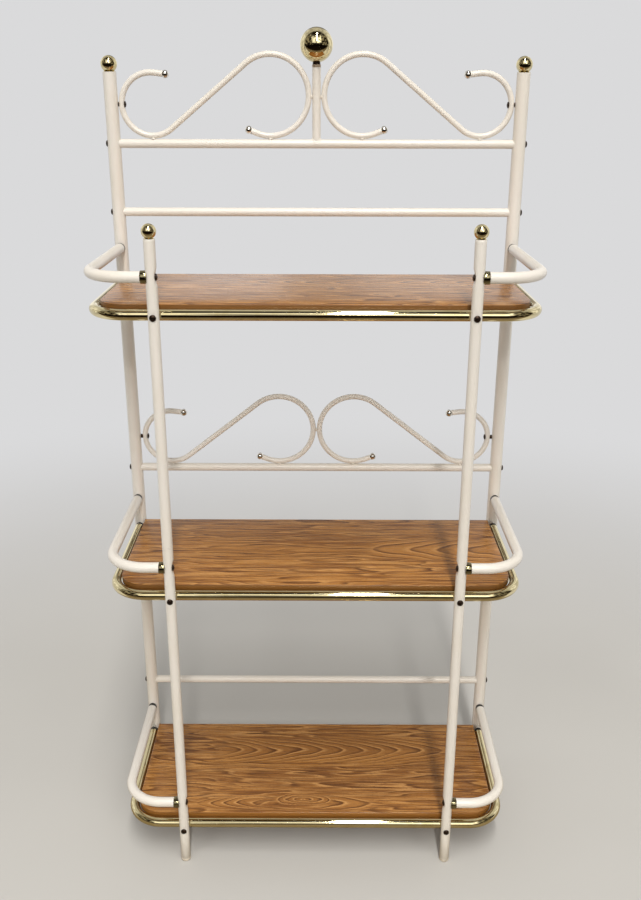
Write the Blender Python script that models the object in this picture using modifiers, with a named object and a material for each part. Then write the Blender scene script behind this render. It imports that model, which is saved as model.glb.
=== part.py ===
"""Tiered shelf: a bolted tubular etagere with three boards, gallery arms and scrollwork.

Metres, +Z up, the origin on the floor under the middle of the part.
+X is to the right of someone who stands in front, and +Y points to the back.
"""

import math

import bmesh
import bpy
from mathutils import Matrix, Vector

# Clearances that every joint shares
TOUCH_GAP = 0.0003
CUT_OVERRUN = 0.004
MERGE_DISTANCE = 0.00001

# Frame
SHELF_PITCH = 0.609
LOWEST_RAIL_HEIGHT = 0.090
REAR_TUBE_SPACING = 0.878
FRONT_TUBE_SPACING = 0.614
FRAME_DEPTH = 0.3825
TUBE_WALL = 0.0012
REAR_TUBE_RADIUS = 0.0143
FRONT_TUBE_RADIUS = 0.0111
REAR_TUBE_ABOVE_CREST = 0.1445
FRONT_TUBE_ABOVE_RAIL = 0.147

# Crossbars between the rear uprights
CROSSBAR_RADIUS = 0.0095
GALLERY_BAR_ABOVE_RAIL = 0.1535
CREST_BAR_ABOVE_RAIL = 0.298
END_PLUG_LENGTH = 0.010

# Brass rails round the boards
RAIL_RADIUS = 0.0111
RAIL_BEND_RADIUS = 0.075
RAIL_SADDLE_DEPTH = 0.003
TAB_LENGTH = 0.026
TAB_WIDTH = 0.022
TAB_THICKNESS = 0.0025
FRONT_TAB_SPACING = 0.500
SIDE_TAB_FROM_REAR = 0.080

# Boards
BOARD_THICKNESS = 0.016
BOARD_TOP_ABOVE_RAIL = 0.018
BOARD_RAIL_GAP = 0.0022
BOARD_UPRIGHT_GAP = 0.0028
BOARD_EDGE_ROUND = 0.0015

# Gallery arms and their ferrules
ARM_RADIUS = 0.0111
ARM_ABOVE_RAIL = 0.076
ARM_BEND_RADIUS = 0.080
FERRULE_RADIUS = 0.0129
FERRULE_LENGTH = 0.0092
FERRULE_WRAP = 0.0035
FERRULE_SOCKET_DEPTH = 0.004

# Dimples pressed into the front uprights, one for each bolt
ARM_DIMPLE_DEPTH = 0.004
ARM_DIMPLE_RADIUS = 0.042
RAIL_DIMPLE_DEPTH = 0.0015
RAIL_DIMPLE_RADIUS = 0.030

# Scrolls
SCROLL_ROD_RADIUS = 0.00635
SCROLL_SMALL_LOOP_RADIUS = 0.070
SCROLL_LARGE_LOOP_RADIUS = 0.0884
SCROLL_HOOK_TAIL = 0.022
SCROLL_CURL_TAIL = 0.017
SCROLL_HOOK_ANGLE = math.radians(83)
SCROLL_CURL_ANGLE = math.radians(-111)
TIP_BALL_RADIUS = 0.0085
TIP_BALL_BITE = 0.004
SCROLL_WASHER_RADIUS = 0.0048
SCROLL_WASHER_BED = 0.0015
TOP_WASHER_THICKNESS = 0.0010
MIDDLE_WASHER_THICKNESS = 0.0042

# Crest post and finials
POST_RADIUS = 0.009
POST_TOP_ABOVE_CREST = 0.154
COLLAR_RADIUS = 0.0093
COLLAR_HEIGHT = 0.0055
CREST_BALL_RADIUS = 0.035
CREST_NECK_RADIUS = 0.0082
CREST_NECK_HEIGHT = 0.0030
REAR_BALL_RADIUS = 0.0175
FRONT_BALL_RADIUS = 0.0145
FINIAL_FLANGE_HEIGHT = 0.0008
FINIAL_FLANGE_INSET = 0.0006
FINIAL_NECK_SHARE = 0.70
SPIGOT_LENGTH = 0.014

# Foot caps
CAP_HEIGHT = 0.007
CAP_ROUND = 0.004
CAP_PLUG_LENGTH = 0.014

# Bolts and screws
BOLT_HEAD_RADIUS = 0.0067
BOLT_HEAD_HEIGHT = 0.0038
HEAD_CROWN_SHARE = 0.6
HEAD_RIM_SHARE = 0.45
BOLT_RADIUS = 0.003
BOLT_CLEARANCE = 0.0005
BOLT_BITE = 0.009
TAPPED_DEPTH = 0.011
SCROLL_SCREW_BITE = 0.005

# Facets
UPRIGHT_SIDES = 16
BORE_SIDES = 8
TUBE_RESOLUTION = 4
ROD_RESOLUTION = 2
BEND_STEPS = 6
SADDLE_SIDES = 24
DIMPLE_SIDES = 36
LOOP_STEPS = 14
BALL_SIDES = 16
CREST_BALL_SIDES = 20
CAP_SIDES = 12
TIP_BALL_SIDES = 8
BOLT_SIDES = 8
SCREW_SIDES = 6
FERRULE_SIDES = 14

# Colours from the photograph, in linear values, with roughness and metallic
ENAMEL = ((0.72, 0.66, 0.55), 0.32, 0.0)
BRASS = ((0.78, 0.56, 0.22), 0.16, 1.0)
NICKEL = ((0.74, 0.71, 0.66), 0.18, 1.0)
BRONZE = ((0.045, 0.034, 0.025), 0.42, 0.7)
LAMINATE = ((0.30, 0.135, 0.05), 0.3, 0.0)
PLASTIC = ((0.62, 0.57, 0.48), 0.45, 0.0)


def head_lift(dimple_radius):
    """How far a bolt's flat head stands above the deepest line of a hollow dimple."""
    return dimple_radius - math.sqrt(max(dimple_radius ** 2 - BOLT_HEAD_RADIUS ** 2, 0)) + TOUCH_GAP


# Places that follow from the sizes above
SIDES = (("left", -1), ("right", 1))
TIERS = ("bottom", "middle", "top")
RAIL_HEIGHTS = {tier: LOWEST_RAIL_HEIGHT + SHELF_PITCH * step for step, tier in enumerate(TIERS)}
CREST_BAR_HEIGHT = RAIL_HEIGHTS["top"] + CREST_BAR_ABOVE_RAIL
REAR_TUBE_TOP = CREST_BAR_HEIGHT + REAR_TUBE_ABOVE_CREST
FRONT_TUBE_TOP = RAIL_HEIGHTS["top"] + FRONT_TUBE_ABOVE_RAIL
CROSSBARS = {f"crossbar_{tier}": RAIL_HEIGHTS[tier] + GALLERY_BAR_ABOVE_RAIL for tier in TIERS}
CROSSBARS["crossbar_crest"] = CREST_BAR_HEIGHT
BOLT_REACH = FRONT_TUBE_RADIUS - RAIL_DIMPLE_DEPTH + head_lift(RAIL_DIMPLE_RADIUS) + BOLT_HEAD_HEIGHT
FRONT_REACH = max(FRONT_BALL_RADIUS, BOLT_REACH)
REAR_REACH = max(CREST_BALL_RADIUS, REAR_TUBE_RADIUS + TOUCH_GAP + BOLT_HEAD_HEIGHT)
DEPTH = FRONT_REACH + FRAME_DEPTH + REAR_REACH
FRONT_Y = FRONT_REACH - DEPTH / 2
REAR_Y = FRONT_Y + FRAME_DEPTH
REAR_X = REAR_TUBE_SPACING / 2
FRONT_X = FRONT_TUBE_SPACING / 2
RAIL_Y = FRONT_Y + FRONT_TUBE_RADIUS - RAIL_SADDLE_DEPTH + TOUCH_GAP + RAIL_RADIUS
TUBE_END_Y = REAR_Y - REAR_TUBE_RADIUS - TOUCH_GAP
BOARD_HALF_WIDTH = REAR_X - RAIL_RADIUS - BOARD_RAIL_GAP
BOARD_FRONT_Y = RAIL_Y + RAIL_RADIUS + BOARD_RAIL_GAP
CORNER_TO_UPRIGHT = REAR_TUBE_RADIUS + BOARD_UPRIGHT_GAP
BOARD_BACK_Y = REAR_Y - math.sqrt(max(CORNER_TO_UPRIGHT ** 2 - (REAR_X - BOARD_HALF_WIDTH) ** 2, 0))
HOLE_RADIUS = BOLT_RADIUS + BOLT_CLEARANCE
ARM_BOLT_SEAT = FRONT_X - FRONT_TUBE_RADIUS + ARM_DIMPLE_DEPTH - head_lift(ARM_DIMPLE_RADIUS)
RAIL_BOLT_SEAT = FRONT_Y - FRONT_TUBE_RADIUS + RAIL_DIMPLE_DEPTH - head_lift(RAIL_DIMPLE_RADIUS)

# For each row of scrolls: the height of its bar, half the room between the pair, and its washers
SCROLL_ROWS = {
    "top": (CREST_BAR_HEIGHT, POST_RADIUS + TOUCH_GAP, TOP_WASHER_THICKNESS),
    "middle": (CROSSBARS["crossbar_middle"], TOUCH_GAP / 2, MIDDLE_WASHER_THICKNESS),
}

X_AXIS = Vector((1, 0, 0))
Y_AXIS = Vector((0, 1, 0))


def clear_scene():
    for item in list(bpy.data.objects):
        bpy.data.objects.remove(item, do_unlink=True)


def new_collection(name):
    collection = bpy.data.collections.new(name)
    bpy.context.scene.collection.children.link(collection)
    return collection


def principled(name, finish):
    colour, roughness, metallic = finish
    material = bpy.data.materials.new(name)
    material.use_nodes = True
    shader = material.node_tree.nodes["Principled BSDF"]
    shader.inputs["Base Color"].default_value = (*colour, 1)
    shader.inputs["Roughness"].default_value = roughness
    shader.inputs["Metallic"].default_value = metallic
    return material


def add_part(name, mesh, finish):
    """Link a mesh to the shelf as a named sub-part with a material of its own."""
    mesh.name = name
    mesh.materials.clear()
    mesh.materials.append(principled(f"{name}_finish", finish))
    mesh.shade_smooth()
    mesh.set_sharp_from_angle(angle=math.radians(35))
    part = bpy.data.objects.new(name, mesh)
    PARTS.objects.link(part)
    return part


def add_cutter(name, mesh):
    cutter = bpy.data.objects.new(name, mesh)
    cutter.display_type = "WIRE"
    cutter.hide_render = True
    CUTTERS.objects.link(cutter)
    return cutter


def boolean(target, cutter, operation="DIFFERENCE"):
    modifier = target.modifiers.new(f"{operation.lower()}_{cutter.name}", "BOOLEAN")
    modifier.operation = operation
    modifier.solver = "EXACT"
    modifier.object = cutter


def mesh_from(bm, name):
    mesh = bpy.data.meshes.new(name)
    bm.to_mesh(mesh)
    bm.free()
    return mesh


def evaluated_mesh(item):
    """Take an object's finished mesh, weld its caps and remove the object."""
    graph = bpy.context.evaluated_depsgraph_get()
    mesh = bpy.data.meshes.new_from_object(item.evaluated_get(graph))
    bm = bmesh.new()
    bm.from_mesh(mesh)
    bmesh.ops.remove_doubles(bm, verts=bm.verts, dist=MERGE_DISTANCE)
    bm.to_mesh(mesh)
    bm.free()
    bpy.data.objects.remove(item, do_unlink=True)
    return mesh


def along(start, direction):
    """Matrix that puts a shape's own origin at start and its +Z along direction."""
    return Matrix.Translation(start) @ direction.to_track_quat("Z", "X").to_matrix().to_4x4()


def cylinders(name, rods, sides):
    """One mesh of separate closed cylinders, each given as start, end and radius."""
    bm = bmesh.new()
    for start, end, radius in rods:
        span = Vector(end) - Vector(start)
        middle = (Vector(start) + Vector(end)) / 2
        bmesh.ops.create_cone(bm, cap_ends=True, segments=sides, radius1=radius, radius2=radius,
                              depth=span.length, matrix=along(middle, span))
    return mesh_from(bm, name)


def boxes(name, blocks):
    """One mesh of separate boxes, each given as its low and high corner."""
    bm = bmesh.new()
    for low, high in blocks:
        size = Vector(high) - Vector(low)
        middle = (Vector(high) + Vector(low)) / 2
        bmesh.ops.create_cube(bm, size=1, matrix=Matrix.Translation(middle) @ Matrix.Diagonal((*size, 1)))
    return mesh_from(bm, name)


def swept(name, points, radius, resolution):
    """Round tube or rod along a path, closed by flat ends."""
    curve = bpy.data.curves.new(name, "CURVE")
    curve.dimensions = "3D"
    curve.twist_mode = "MINIMUM"
    curve.bevel_depth = radius
    curve.bevel_resolution = resolution
    curve.use_fill_caps = True
    spline = curve.splines.new("POLY")
    spline.points.add(len(points) - 1)
    for point, place in zip(spline.points, points):
        point.co = (*place, 1)
    item = bpy.data.objects.new(name, curve)
    CUTTERS.objects.link(item)
    return evaluated_mesh(item)


def turned(name, profile, sides):
    """Turn a profile of radius and height, given from top to bottom, round the Z axis."""
    mesh = bpy.data.meshes.new(name)
    points = [(radius, 0, height) for radius, height in profile]
    mesh.from_pydata(points, [(step, step + 1) for step in range(len(points) - 1)], [])
    item = bpy.data.objects.new(name, mesh)
    CUTTERS.objects.link(item)
    screw = item.modifiers.new("turn", "SCREW")
    screw.steps = sides
    screw.render_steps = sides
    screw.use_merge_vertices = True
    screw.merge_threshold = MERGE_DISTANCE
    return evaluated_mesh(item)


def copies(name, mesh, places):
    """One mesh that holds a separate copy of mesh at each matrix of places."""
    bm = bmesh.new()
    for place in places:
        copy = mesh.copy()
        copy.transform(place)
        bm.from_mesh(copy)
        bpy.data.meshes.remove(copy)
    return mesh_from(bm, name)


def fuse(target, name, mesh, places):
    """Join copies of a shape to the piece that carries them."""
    boolean(target, add_cutter(f"{target.name}_{name}", copies(name, mesh, places)), "UNION")


def arc(centre, radius, start, end, steps):
    """Points on a flat arc from one angle to another, ends included."""
    turn = (end - start) / steps
    angles = [start + turn * step for step in range(steps + 1)]
    return [(centre[0] + radius * math.cos(a), centre[1] + radius * math.sin(a)) for a in angles]


def bolt_profile(head_radius, head_height, shank_radius, length):
    """Low domed head, whose underside lies at height zero, on a plain shank."""
    crown_height = head_height * (1 - (1 - HEAD_CROWN_SHARE) * HEAD_RIM_SHARE)
    return [(0, head_height), (head_radius * HEAD_CROWN_SHARE, crown_height),
            (head_radius, head_height * HEAD_RIM_SHARE), (head_radius, 0), (shank_radius, 0),
            (shank_radius, -length), (0, -length)]


def bolt(name, seat, direction, length):
    """A bolt of its own, its head at seat and its shank along direction."""
    profile = bolt_profile(BOLT_HEAD_RADIUS, BOLT_HEAD_HEIGHT, BOLT_RADIUS, length)
    mesh = turned(name, profile, BOLT_SIDES)
    mesh.transform(along(seat, -direction))
    add_part(name, mesh, BRONZE)


def rear_uprights():
    """Tall rear tubes that carry the screws of the crossbars, rails and arms."""
    reach = REAR_TUBE_RADIUS + CUT_OVERRUN
    shank = REAR_TUBE_RADIUS * 2 + BOLT_BITE
    profile = bolt_profile(BOLT_HEAD_RADIUS, BOLT_HEAD_HEIGHT, BOLT_RADIUS, shank)
    screw = turned("frame_screw", profile[:1] + profile[2:], SCREW_SIDES)
    seat = REAR_TUBE_RADIUS - TOUCH_GAP
    for side, sign in SIDES:
        x = sign * REAR_X
        name = f"rear_upright_{side}"
        bottom = CAP_HEIGHT + TOUCH_GAP
        tube = [((x, REAR_Y, bottom), (x, REAR_Y, REAR_TUBE_TOP), REAR_TUBE_RADIUS)]
        upright = add_part(name, cylinders(name, tube, UPRIGHT_SIDES), ENAMEL)
        bore = [((x, REAR_Y, bottom - CUT_OVERRUN), (x, REAR_Y, REAR_TUBE_TOP + CUT_OVERRUN),
                 REAR_TUBE_RADIUS - TUBE_WALL)]
        boolean(upright, add_cutter(f"{name}_bore", cylinders(name, bore, UPRIGHT_SIDES)))
        heights = [scroll_centres(bar)[0][1] for bar in SCROLL_ROWS]
        holes = [((x, REAR_Y, z), (x - sign * reach, REAR_Y, z), HOLE_RADIUS) for z in heights]
        boolean(upright, add_cutter(f"{name}_holes", cylinders(name, holes, BOLT_SIDES)))
        places = []
        for rail_height in RAIL_HEIGHTS.values():
            for height in (rail_height, rail_height + ARM_ABOVE_RAIL):
                places.append(along(Vector((x, REAR_Y + seat, height)), Y_AXIS))
        for height in CROSSBARS.values():
            places.append(along(Vector((x + sign * seat, REAR_Y, height)), sign * X_AXIS))
        fuse(upright, "screws", screw, places)


def front_presses(side, sign, growth):
    """Rods that stand for the press tools on a front upright, grown for the inner face of its wall."""
    x = sign * FRONT_X
    reach = FRONT_TUBE_RADIUS + CUT_OVERRUN
    dimples = []
    saddles = []
    for rail_height in RAIL_HEIGHTS.values():
        arm_height = rail_height + ARM_ABOVE_RAIL
        across = x - sign * (FRONT_TUBE_RADIUS - ARM_DIMPLE_DEPTH + ARM_DIMPLE_RADIUS)
        ahead = FRONT_Y - FRONT_TUBE_RADIUS + RAIL_DIMPLE_DEPTH - RAIL_DIMPLE_RADIUS
        dimples.append(((across, FRONT_Y - reach, arm_height), (across, FRONT_Y + reach, arm_height),
                        ARM_DIMPLE_RADIUS + growth))
        dimples.append(((x - reach, ahead, rail_height), (x + reach, ahead, rail_height),
                        RAIL_DIMPLE_RADIUS + growth))
        saddles.append(((x - reach, RAIL_Y, rail_height), (x + reach, RAIL_Y, rail_height),
                        RAIL_RADIUS + TOUCH_GAP + growth))
    suffix = "inner" if growth else "outer"
    return (add_cutter(f"front_{side}_{suffix}_dimples", cylinders("dimples", dimples, DIMPLE_SIDES)),
            add_cutter(f"front_{side}_{suffix}_saddles", cylinders("saddles", saddles, SADDLE_SIDES)))


def front_uprights():
    """Shorter front tubes, pressed to a dimple at each bolt and to a saddle at each rail."""
    reach = FRONT_TUBE_RADIUS + CUT_OVERRUN
    for side, sign in SIDES:
        x = sign * FRONT_X
        name = f"front_upright_{side}"
        bottom = CAP_HEIGHT + TOUCH_GAP
        tube = [((x, FRONT_Y, bottom), (x, FRONT_Y, FRONT_TUBE_TOP), FRONT_TUBE_RADIUS)]
        upright = add_part(name, cylinders(name, tube, UPRIGHT_SIDES), ENAMEL)
        bore_rod = [((x, FRONT_Y, bottom - CUT_OVERRUN), (x, FRONT_Y, FRONT_TUBE_TOP + CUT_OVERRUN),
                     FRONT_TUBE_RADIUS - TUBE_WALL)]
        bore = add_cutter(f"{name}_bore", cylinders(name, bore_rod, UPRIGHT_SIDES))
        for press in front_presses(side, sign, 0):
            boolean(upright, press)
        for press in front_presses(side, sign, TUBE_WALL):
            boolean(bore, press)
        boolean(upright, bore)
        holes = []
        for rail_height in RAIL_HEIGHTS.values():
            arm_height = rail_height + ARM_ABOVE_RAIL
            holes.append(((x - reach, FRONT_Y, arm_height), (x + reach, FRONT_Y, arm_height), HOLE_RADIUS))
            holes.append(((x, FRONT_Y - reach, rail_height), (x, FRONT_Y + reach, rail_height), HOLE_RADIUS))
        boolean(upright, add_cutter(f"{name}_holes", cylinders(name, holes, BOLT_SIDES)))


def crossbars():
    """Horizontal tubes, whose ends are coped to the round rear uprights."""
    seat = math.sqrt(max(REAR_TUBE_RADIUS ** 2 - CROSSBAR_RADIUS ** 2, 0))
    cope_radius = REAR_TUBE_RADIUS + TOUCH_GAP
    half = REAR_X - seat
    plug_x = REAR_X - cope_radius - END_PLUG_LENGTH
    for name, height in CROSSBARS.items():
        rod = [((-half, REAR_Y, height), (half, REAR_Y, height), CROSSBAR_RADIUS)]
        bar = add_part(name, cylinders(name, rod, UPRIGHT_SIDES), ENAMEL)
        low = height - CROSSBAR_RADIUS - CUT_OVERRUN
        high = height + CROSSBAR_RADIUS + CUT_OVERRUN
        copes = [((sign * REAR_X, REAR_Y, low), (sign * REAR_X, REAR_Y, high), cope_radius) for _, sign in SIDES]
        boolean(bar, add_cutter(f"{name}_copes", cylinders(name, copes, SADDLE_SIDES)))
        bore = [((-plug_x, REAR_Y, height), (plug_x, REAR_Y, height), CROSSBAR_RADIUS - TUBE_WALL)]
        boolean(bar, add_cutter(f"{name}_bore", cylinders(name, bore, BORE_SIDES)))
        holes = [((sign * REAR_X, REAR_Y, height), (sign * (plug_x - CUT_OVERRUN), REAR_Y, height), HOLE_RADIUS)
                 for _, sign in SIDES]
        boolean(bar, add_cutter(f"{name}_holes", cylinders(name, holes, BOLT_SIDES)))


def rail_path(height):
    """Centre line of a U rail, from its left rear end round the front to its right rear end."""
    corner_x = REAR_X - RAIL_BEND_RADIUS
    corner_y = RAIL_Y + RAIL_BEND_RADIUS
    left = arc((-corner_x, corner_y), RAIL_BEND_RADIUS, math.pi, math.pi * 3 / 2, BEND_STEPS)
    right = arc((corner_x, corner_y), RAIL_BEND_RADIUS, -math.pi / 2, 0, BEND_STEPS)
    flat = [(-REAR_X, TUBE_END_Y), *left, *right, (REAR_X, TUBE_END_Y)]
    return [(x, y, height) for x, y in flat]


def tab_spots():
    """Places of a rail's four tabs: root on the rail's axis, and direction inward."""
    side_y = TUBE_END_Y - SIDE_TAB_FROM_REAR
    spots = []
    for _, sign in SIDES:
        spots.append((Vector((sign * FRONT_TAB_SPACING / 2, RAIL_Y, 0)), Y_AXIS))
        spots.append((Vector((sign * REAR_X, side_y, 0)), -sign * X_AXIS))
    return spots


def shelf_rails():
    """Brass U tubes, plugged and tapped at their ends, with welded tabs that carry the board."""
    for tier, height in RAIL_HEIGHTS.items():
        name = f"shelf_rail_{tier}"
        rail = add_part(name, swept(name, rail_path(height), RAIL_RADIUS, TUBE_RESOLUTION), BRASS)
        tab_top = height + BOARD_TOP_ABOVE_RAIL - BOARD_THICKNESS - TOUCH_GAP
        tab_bottom = tab_top - TAB_THICKNESS
        blocks = []
        for root, inward in tab_spots():
            across = Vector((inward.y, inward.x, 0)) * TAB_WIDTH / 2
            tip = root + inward * (RAIL_RADIUS + TAB_LENGTH)
            corners = (root + across, root - across, tip + across, tip - across)
            blocks.append(((min(c.x for c in corners), min(c.y for c in corners), tab_bottom),
                           (max(c.x for c in corners), max(c.y for c in corners), tab_top)))
        boolean(rail, add_cutter(f"{name}_tabs", boxes(name, blocks)), "UNION")
        holes = []
        for _, sign in SIDES:
            holes.append(((sign * REAR_X, TUBE_END_Y + CUT_OVERRUN, height),
                          (sign * REAR_X, TUBE_END_Y - TAPPED_DEPTH, height), HOLE_RADIUS))
            holes.append(((sign * FRONT_X, RAIL_Y - RAIL_RADIUS - CUT_OVERRUN, height),
                          (sign * FRONT_X, RAIL_Y, height), HOLE_RADIUS))
        boolean(rail, add_cutter(f"{name}_holes", cylinders(name, holes, BOLT_SIDES)))


def shelf_boards():
    """Laminated boards with rounded front corners."""
    corner = max(RAIL_BEND_RADIUS - RAIL_RADIUS - BOARD_RAIL_GAP, BOARD_EDGE_ROUND)
    corner_x = BOARD_HALF_WIDTH - corner
    corner_y = BOARD_FRONT_Y + corner
    outline = [(-BOARD_HALF_WIDTH, BOARD_BACK_Y)]
    outline += arc((-corner_x, corner_y), corner, math.pi, math.pi * 3 / 2, BEND_STEPS)
    outline += arc((corner_x, corner_y), corner, -math.pi / 2, 0, BEND_STEPS)
    outline += [(BOARD_HALF_WIDTH, BOARD_BACK_Y)]
    for tier, height in RAIL_HEIGHTS.items():
        name = f"shelf_board_{tier}"
        curve = bpy.data.curves.new(name, "CURVE")
        curve.dimensions = "2D"
        curve.fill_mode = "BOTH"
        curve.extrude = BOARD_THICKNESS / 2
        spline = curve.splines.new("POLY")
        spline.points.add(len(outline) - 1)
        spline.use_cyclic_u = True
        for point, (x, y) in zip(spline.points, outline):
            point.co = (x, y, 0, 1)
        item = bpy.data.objects.new(name, curve)
        CUTTERS.objects.link(item)
        mesh = evaluated_mesh(item)
        top = height + BOARD_TOP_ABOVE_RAIL
        mesh.transform(Matrix.Translation((0, 0, top - BOARD_THICKNESS / 2)))
        board = add_part(name, mesh, LAMINATE)
        edge = board.modifiers.new("rounded_edges", "BEVEL")
        edge.width = BOARD_EDGE_ROUND
        edge.segments = 1
        edge.limit_method = "ANGLE"
        edge.angle_limit = math.radians(60)


def arm_path(sign, height, front_x):
    """Centre line of an arm, from the rear upright forward and round to the front upright."""
    corner = (REAR_X - ARM_BEND_RADIUS, FRONT_Y + ARM_BEND_RADIUS)
    bend = arc(corner, ARM_BEND_RADIUS, 0, -math.pi / 2, BEND_STEPS)
    flat = [(REAR_X, TUBE_END_Y), *bend, (front_x, FRONT_Y)]
    return [(sign * x, y, height) for x, y in flat]


def gallery_arms():
    """Bent side tubes, plugged and tapped at both ends, each on a brass saddle ferrule."""
    ferrule_face = FRONT_X + FRONT_TUBE_RADIUS + FERRULE_LENGTH
    arm_end = ferrule_face - FERRULE_SOCKET_DEPTH + TOUCH_GAP
    for tier, rail_height in RAIL_HEIGHTS.items():
        height = rail_height + ARM_ABOVE_RAIL
        for side, sign in SIDES:
            name = f"gallery_arm_{tier}_{side}"
            tube = swept(name, arm_path(sign, height, arm_end), ARM_RADIUS, TUBE_RESOLUTION)
            arm = add_part(name, tube, ENAMEL)
            holes = [((sign * REAR_X, TUBE_END_Y + CUT_OVERRUN, height),
                      (sign * REAR_X, TUBE_END_Y - TAPPED_DEPTH, height), HOLE_RADIUS),
                     ((sign * (arm_end - CUT_OVERRUN), FRONT_Y, height),
                      (sign * (arm_end + TAPPED_DEPTH), FRONT_Y, height), HOLE_RADIUS)]
            boolean(arm, add_cutter(f"{name}_holes", cylinders(name, holes, BOLT_SIDES)))
            arm_ferrule(tier, side, sign, height, ferrule_face)


def arm_ferrule(tier, side, sign, height, face):
    """Brass cup for the arm's end, with a saddle that fits the front upright."""
    name = f"arm_ferrule_{tier}_{side}"
    root = FRONT_X + FRONT_TUBE_RADIUS - FERRULE_WRAP
    rod = [((sign * root, FRONT_Y, height), (sign * face, FRONT_Y, height), FERRULE_RADIUS)]
    ferrule = add_part(name, cylinders(name, rod, FERRULE_SIDES), BRASS)
    low = height - FERRULE_RADIUS - CUT_OVERRUN
    high = height + FERRULE_RADIUS + CUT_OVERRUN
    saddle = [((sign * FRONT_X, FRONT_Y, low), (sign * FRONT_X, FRONT_Y, high), FRONT_TUBE_RADIUS + TOUCH_GAP)]
    boolean(ferrule, add_cutter(f"{name}_saddle", cylinders(name, saddle, SADDLE_SIDES)))
    socket = [((sign * (face - FERRULE_SOCKET_DEPTH), FRONT_Y, height),
               (sign * (face + CUT_OVERRUN), FRONT_Y, height), ARM_RADIUS + TOUCH_GAP)]
    boolean(ferrule, add_cutter(f"{name}_socket", cylinders(name, socket, FERRULE_SIDES)))
    hole = [((sign * FRONT_X, FRONT_Y, height), (sign * face, FRONT_Y, height), HOLE_RADIUS)]
    boolean(ferrule, add_cutter(f"{name}_hole", cylinders(name, hole, BOLT_SIDES)))


def scroll_centres(bar):
    """Centres of a left scroll's small and large loop, as x and height."""
    bar_height, inner_contact, washer = SCROLL_ROWS[bar]
    seat = bar_height + CROSSBAR_RADIUS + TOUCH_GAP
    outer_contact = REAR_X - REAR_TUBE_RADIUS - TOUCH_GAP * 2 - washer
    small = (SCROLL_SMALL_LOOP_RADIUS - outer_contact, seat + SCROLL_SMALL_LOOP_RADIUS)
    large = (-inner_contact - SCROLL_LARGE_LOOP_RADIUS, seat + SCROLL_LARGE_LOOP_RADIUS)
    return small, large


def scroll_path(bar):
    """Centre line of a left scroll: hook, small loop, cross tangent, large loop and curl."""
    small, large = scroll_centres(bar)
    small_radius = SCROLL_SMALL_LOOP_RADIUS - SCROLL_ROD_RADIUS
    large_radius = SCROLL_LARGE_LOOP_RADIUS - SCROLL_ROD_RADIUS
    apart = math.hypot(large[0] - small[0], large[1] - small[1])
    slope = math.atan2(large[1] - small[1], large[0] - small[0])
    slope += math.asin(min((small_radius + large_radius) / apart, 1))
    quarter = math.pi / 2
    first = arc(small, small_radius, SCROLL_HOOK_ANGLE, slope - quarter + math.tau, LOOP_STEPS)
    second = arc(large, large_radius, slope + quarter, SCROLL_CURL_ANGLE, LOOP_STEPS)
    hook = (first[0][0] + SCROLL_HOOK_TAIL * math.sin(SCROLL_HOOK_ANGLE),
            first[0][1] - SCROLL_HOOK_TAIL * math.cos(SCROLL_HOOK_ANGLE))
    curl = (second[-1][0] + SCROLL_CURL_TAIL * math.sin(SCROLL_CURL_ANGLE),
            second[-1][1] - SCROLL_CURL_TAIL * math.cos(SCROLL_CURL_ANGLE))
    return [hook, *first, *second, curl]


def scrolls():
    """S scrolls of round rod, each with a washered screw at its upright and two nickel balls."""
    for bar in SCROLL_ROWS:
        path = scroll_path(bar)
        washer = SCROLL_ROWS[bar][2]
        stud = scroll_stud(washer)
        contact = REAR_X - REAR_TUBE_RADIUS - TOUCH_GAP * 2 - washer
        head_x = contact - SCROLL_ROD_RADIUS * 2 + TOUCH_GAP
        for side, sign in SIDES:
            name = f"scroll_{bar}_{side}"
            points = [(-sign * x, REAR_Y, z) for x, z in path]
            rod = add_part(name, swept(name, points, SCROLL_ROD_RADIUS, ROD_RESOLUTION), ENAMEL)
            seat = Vector((sign * head_x, REAR_Y, scroll_centres(bar)[0][1]))
            fuse(rod, "screw", stud, [along(seat, -sign * X_AXIS)])
            for end, tip, before in (("hook", points[0], points[1]), ("curl", points[-1], points[-2])):
                tip_ball(f"scroll_ball_{bar}_{side}_{end}", Vector(tip), Vector(before))


def scroll_stud(washer):
    """Screw through a scroll's rod, with the washer that stands between the rod and the upright."""
    rod = SCROLL_ROD_RADIUS * 2 - TOUCH_GAP
    washer_end = rod + TOUCH_GAP + washer
    washer_start = rod - SCROLL_WASHER_BED
    tip = washer_end + TOUCH_GAP + TUBE_WALL + SCROLL_SCREW_BITE
    profile = bolt_profile(BOLT_HEAD_RADIUS, BOLT_HEAD_HEIGHT, BOLT_RADIUS, tip)
    collar = [(BOLT_RADIUS, -washer_start), (SCROLL_WASHER_RADIUS, -washer_start),
              (SCROLL_WASHER_RADIUS, -washer_end), (BOLT_RADIUS, -washer_end)]
    return turned("scroll_stud", profile[:1] + profile[2:-2] + collar + profile[-2:], SCREW_SIDES)


def tip_ball(name, tip, before):
    """Hollowed ball that is pushed on the end of a scroll's rod."""
    outward = (tip - before).normalized()
    centre = tip + outward * (TIP_BALL_RADIUS - TIP_BALL_BITE) / 2
    heights = [math.pi / 2 - math.pi * step / (TIP_BALL_SIDES / 2) for step in range(TIP_BALL_SIDES // 2 + 1)]
    profile = [(max(TIP_BALL_RADIUS * math.cos(a), 0), TIP_BALL_RADIUS * math.sin(a)) for a in heights]
    mesh = turned(name, profile, TIP_BALL_SIDES)
    mesh.transform(along(centre, outward))
    ball = add_part(name, mesh, NICKEL)
    socket = [(tip + outward * TOUCH_GAP, tip - outward * (TIP_BALL_RADIUS + CUT_OVERRUN),
               SCROLL_ROD_RADIUS + TOUCH_GAP)]
    boolean(ball, add_cutter(f"{name}_socket", cylinders(name, socket, BORE_SIDES)))


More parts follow.
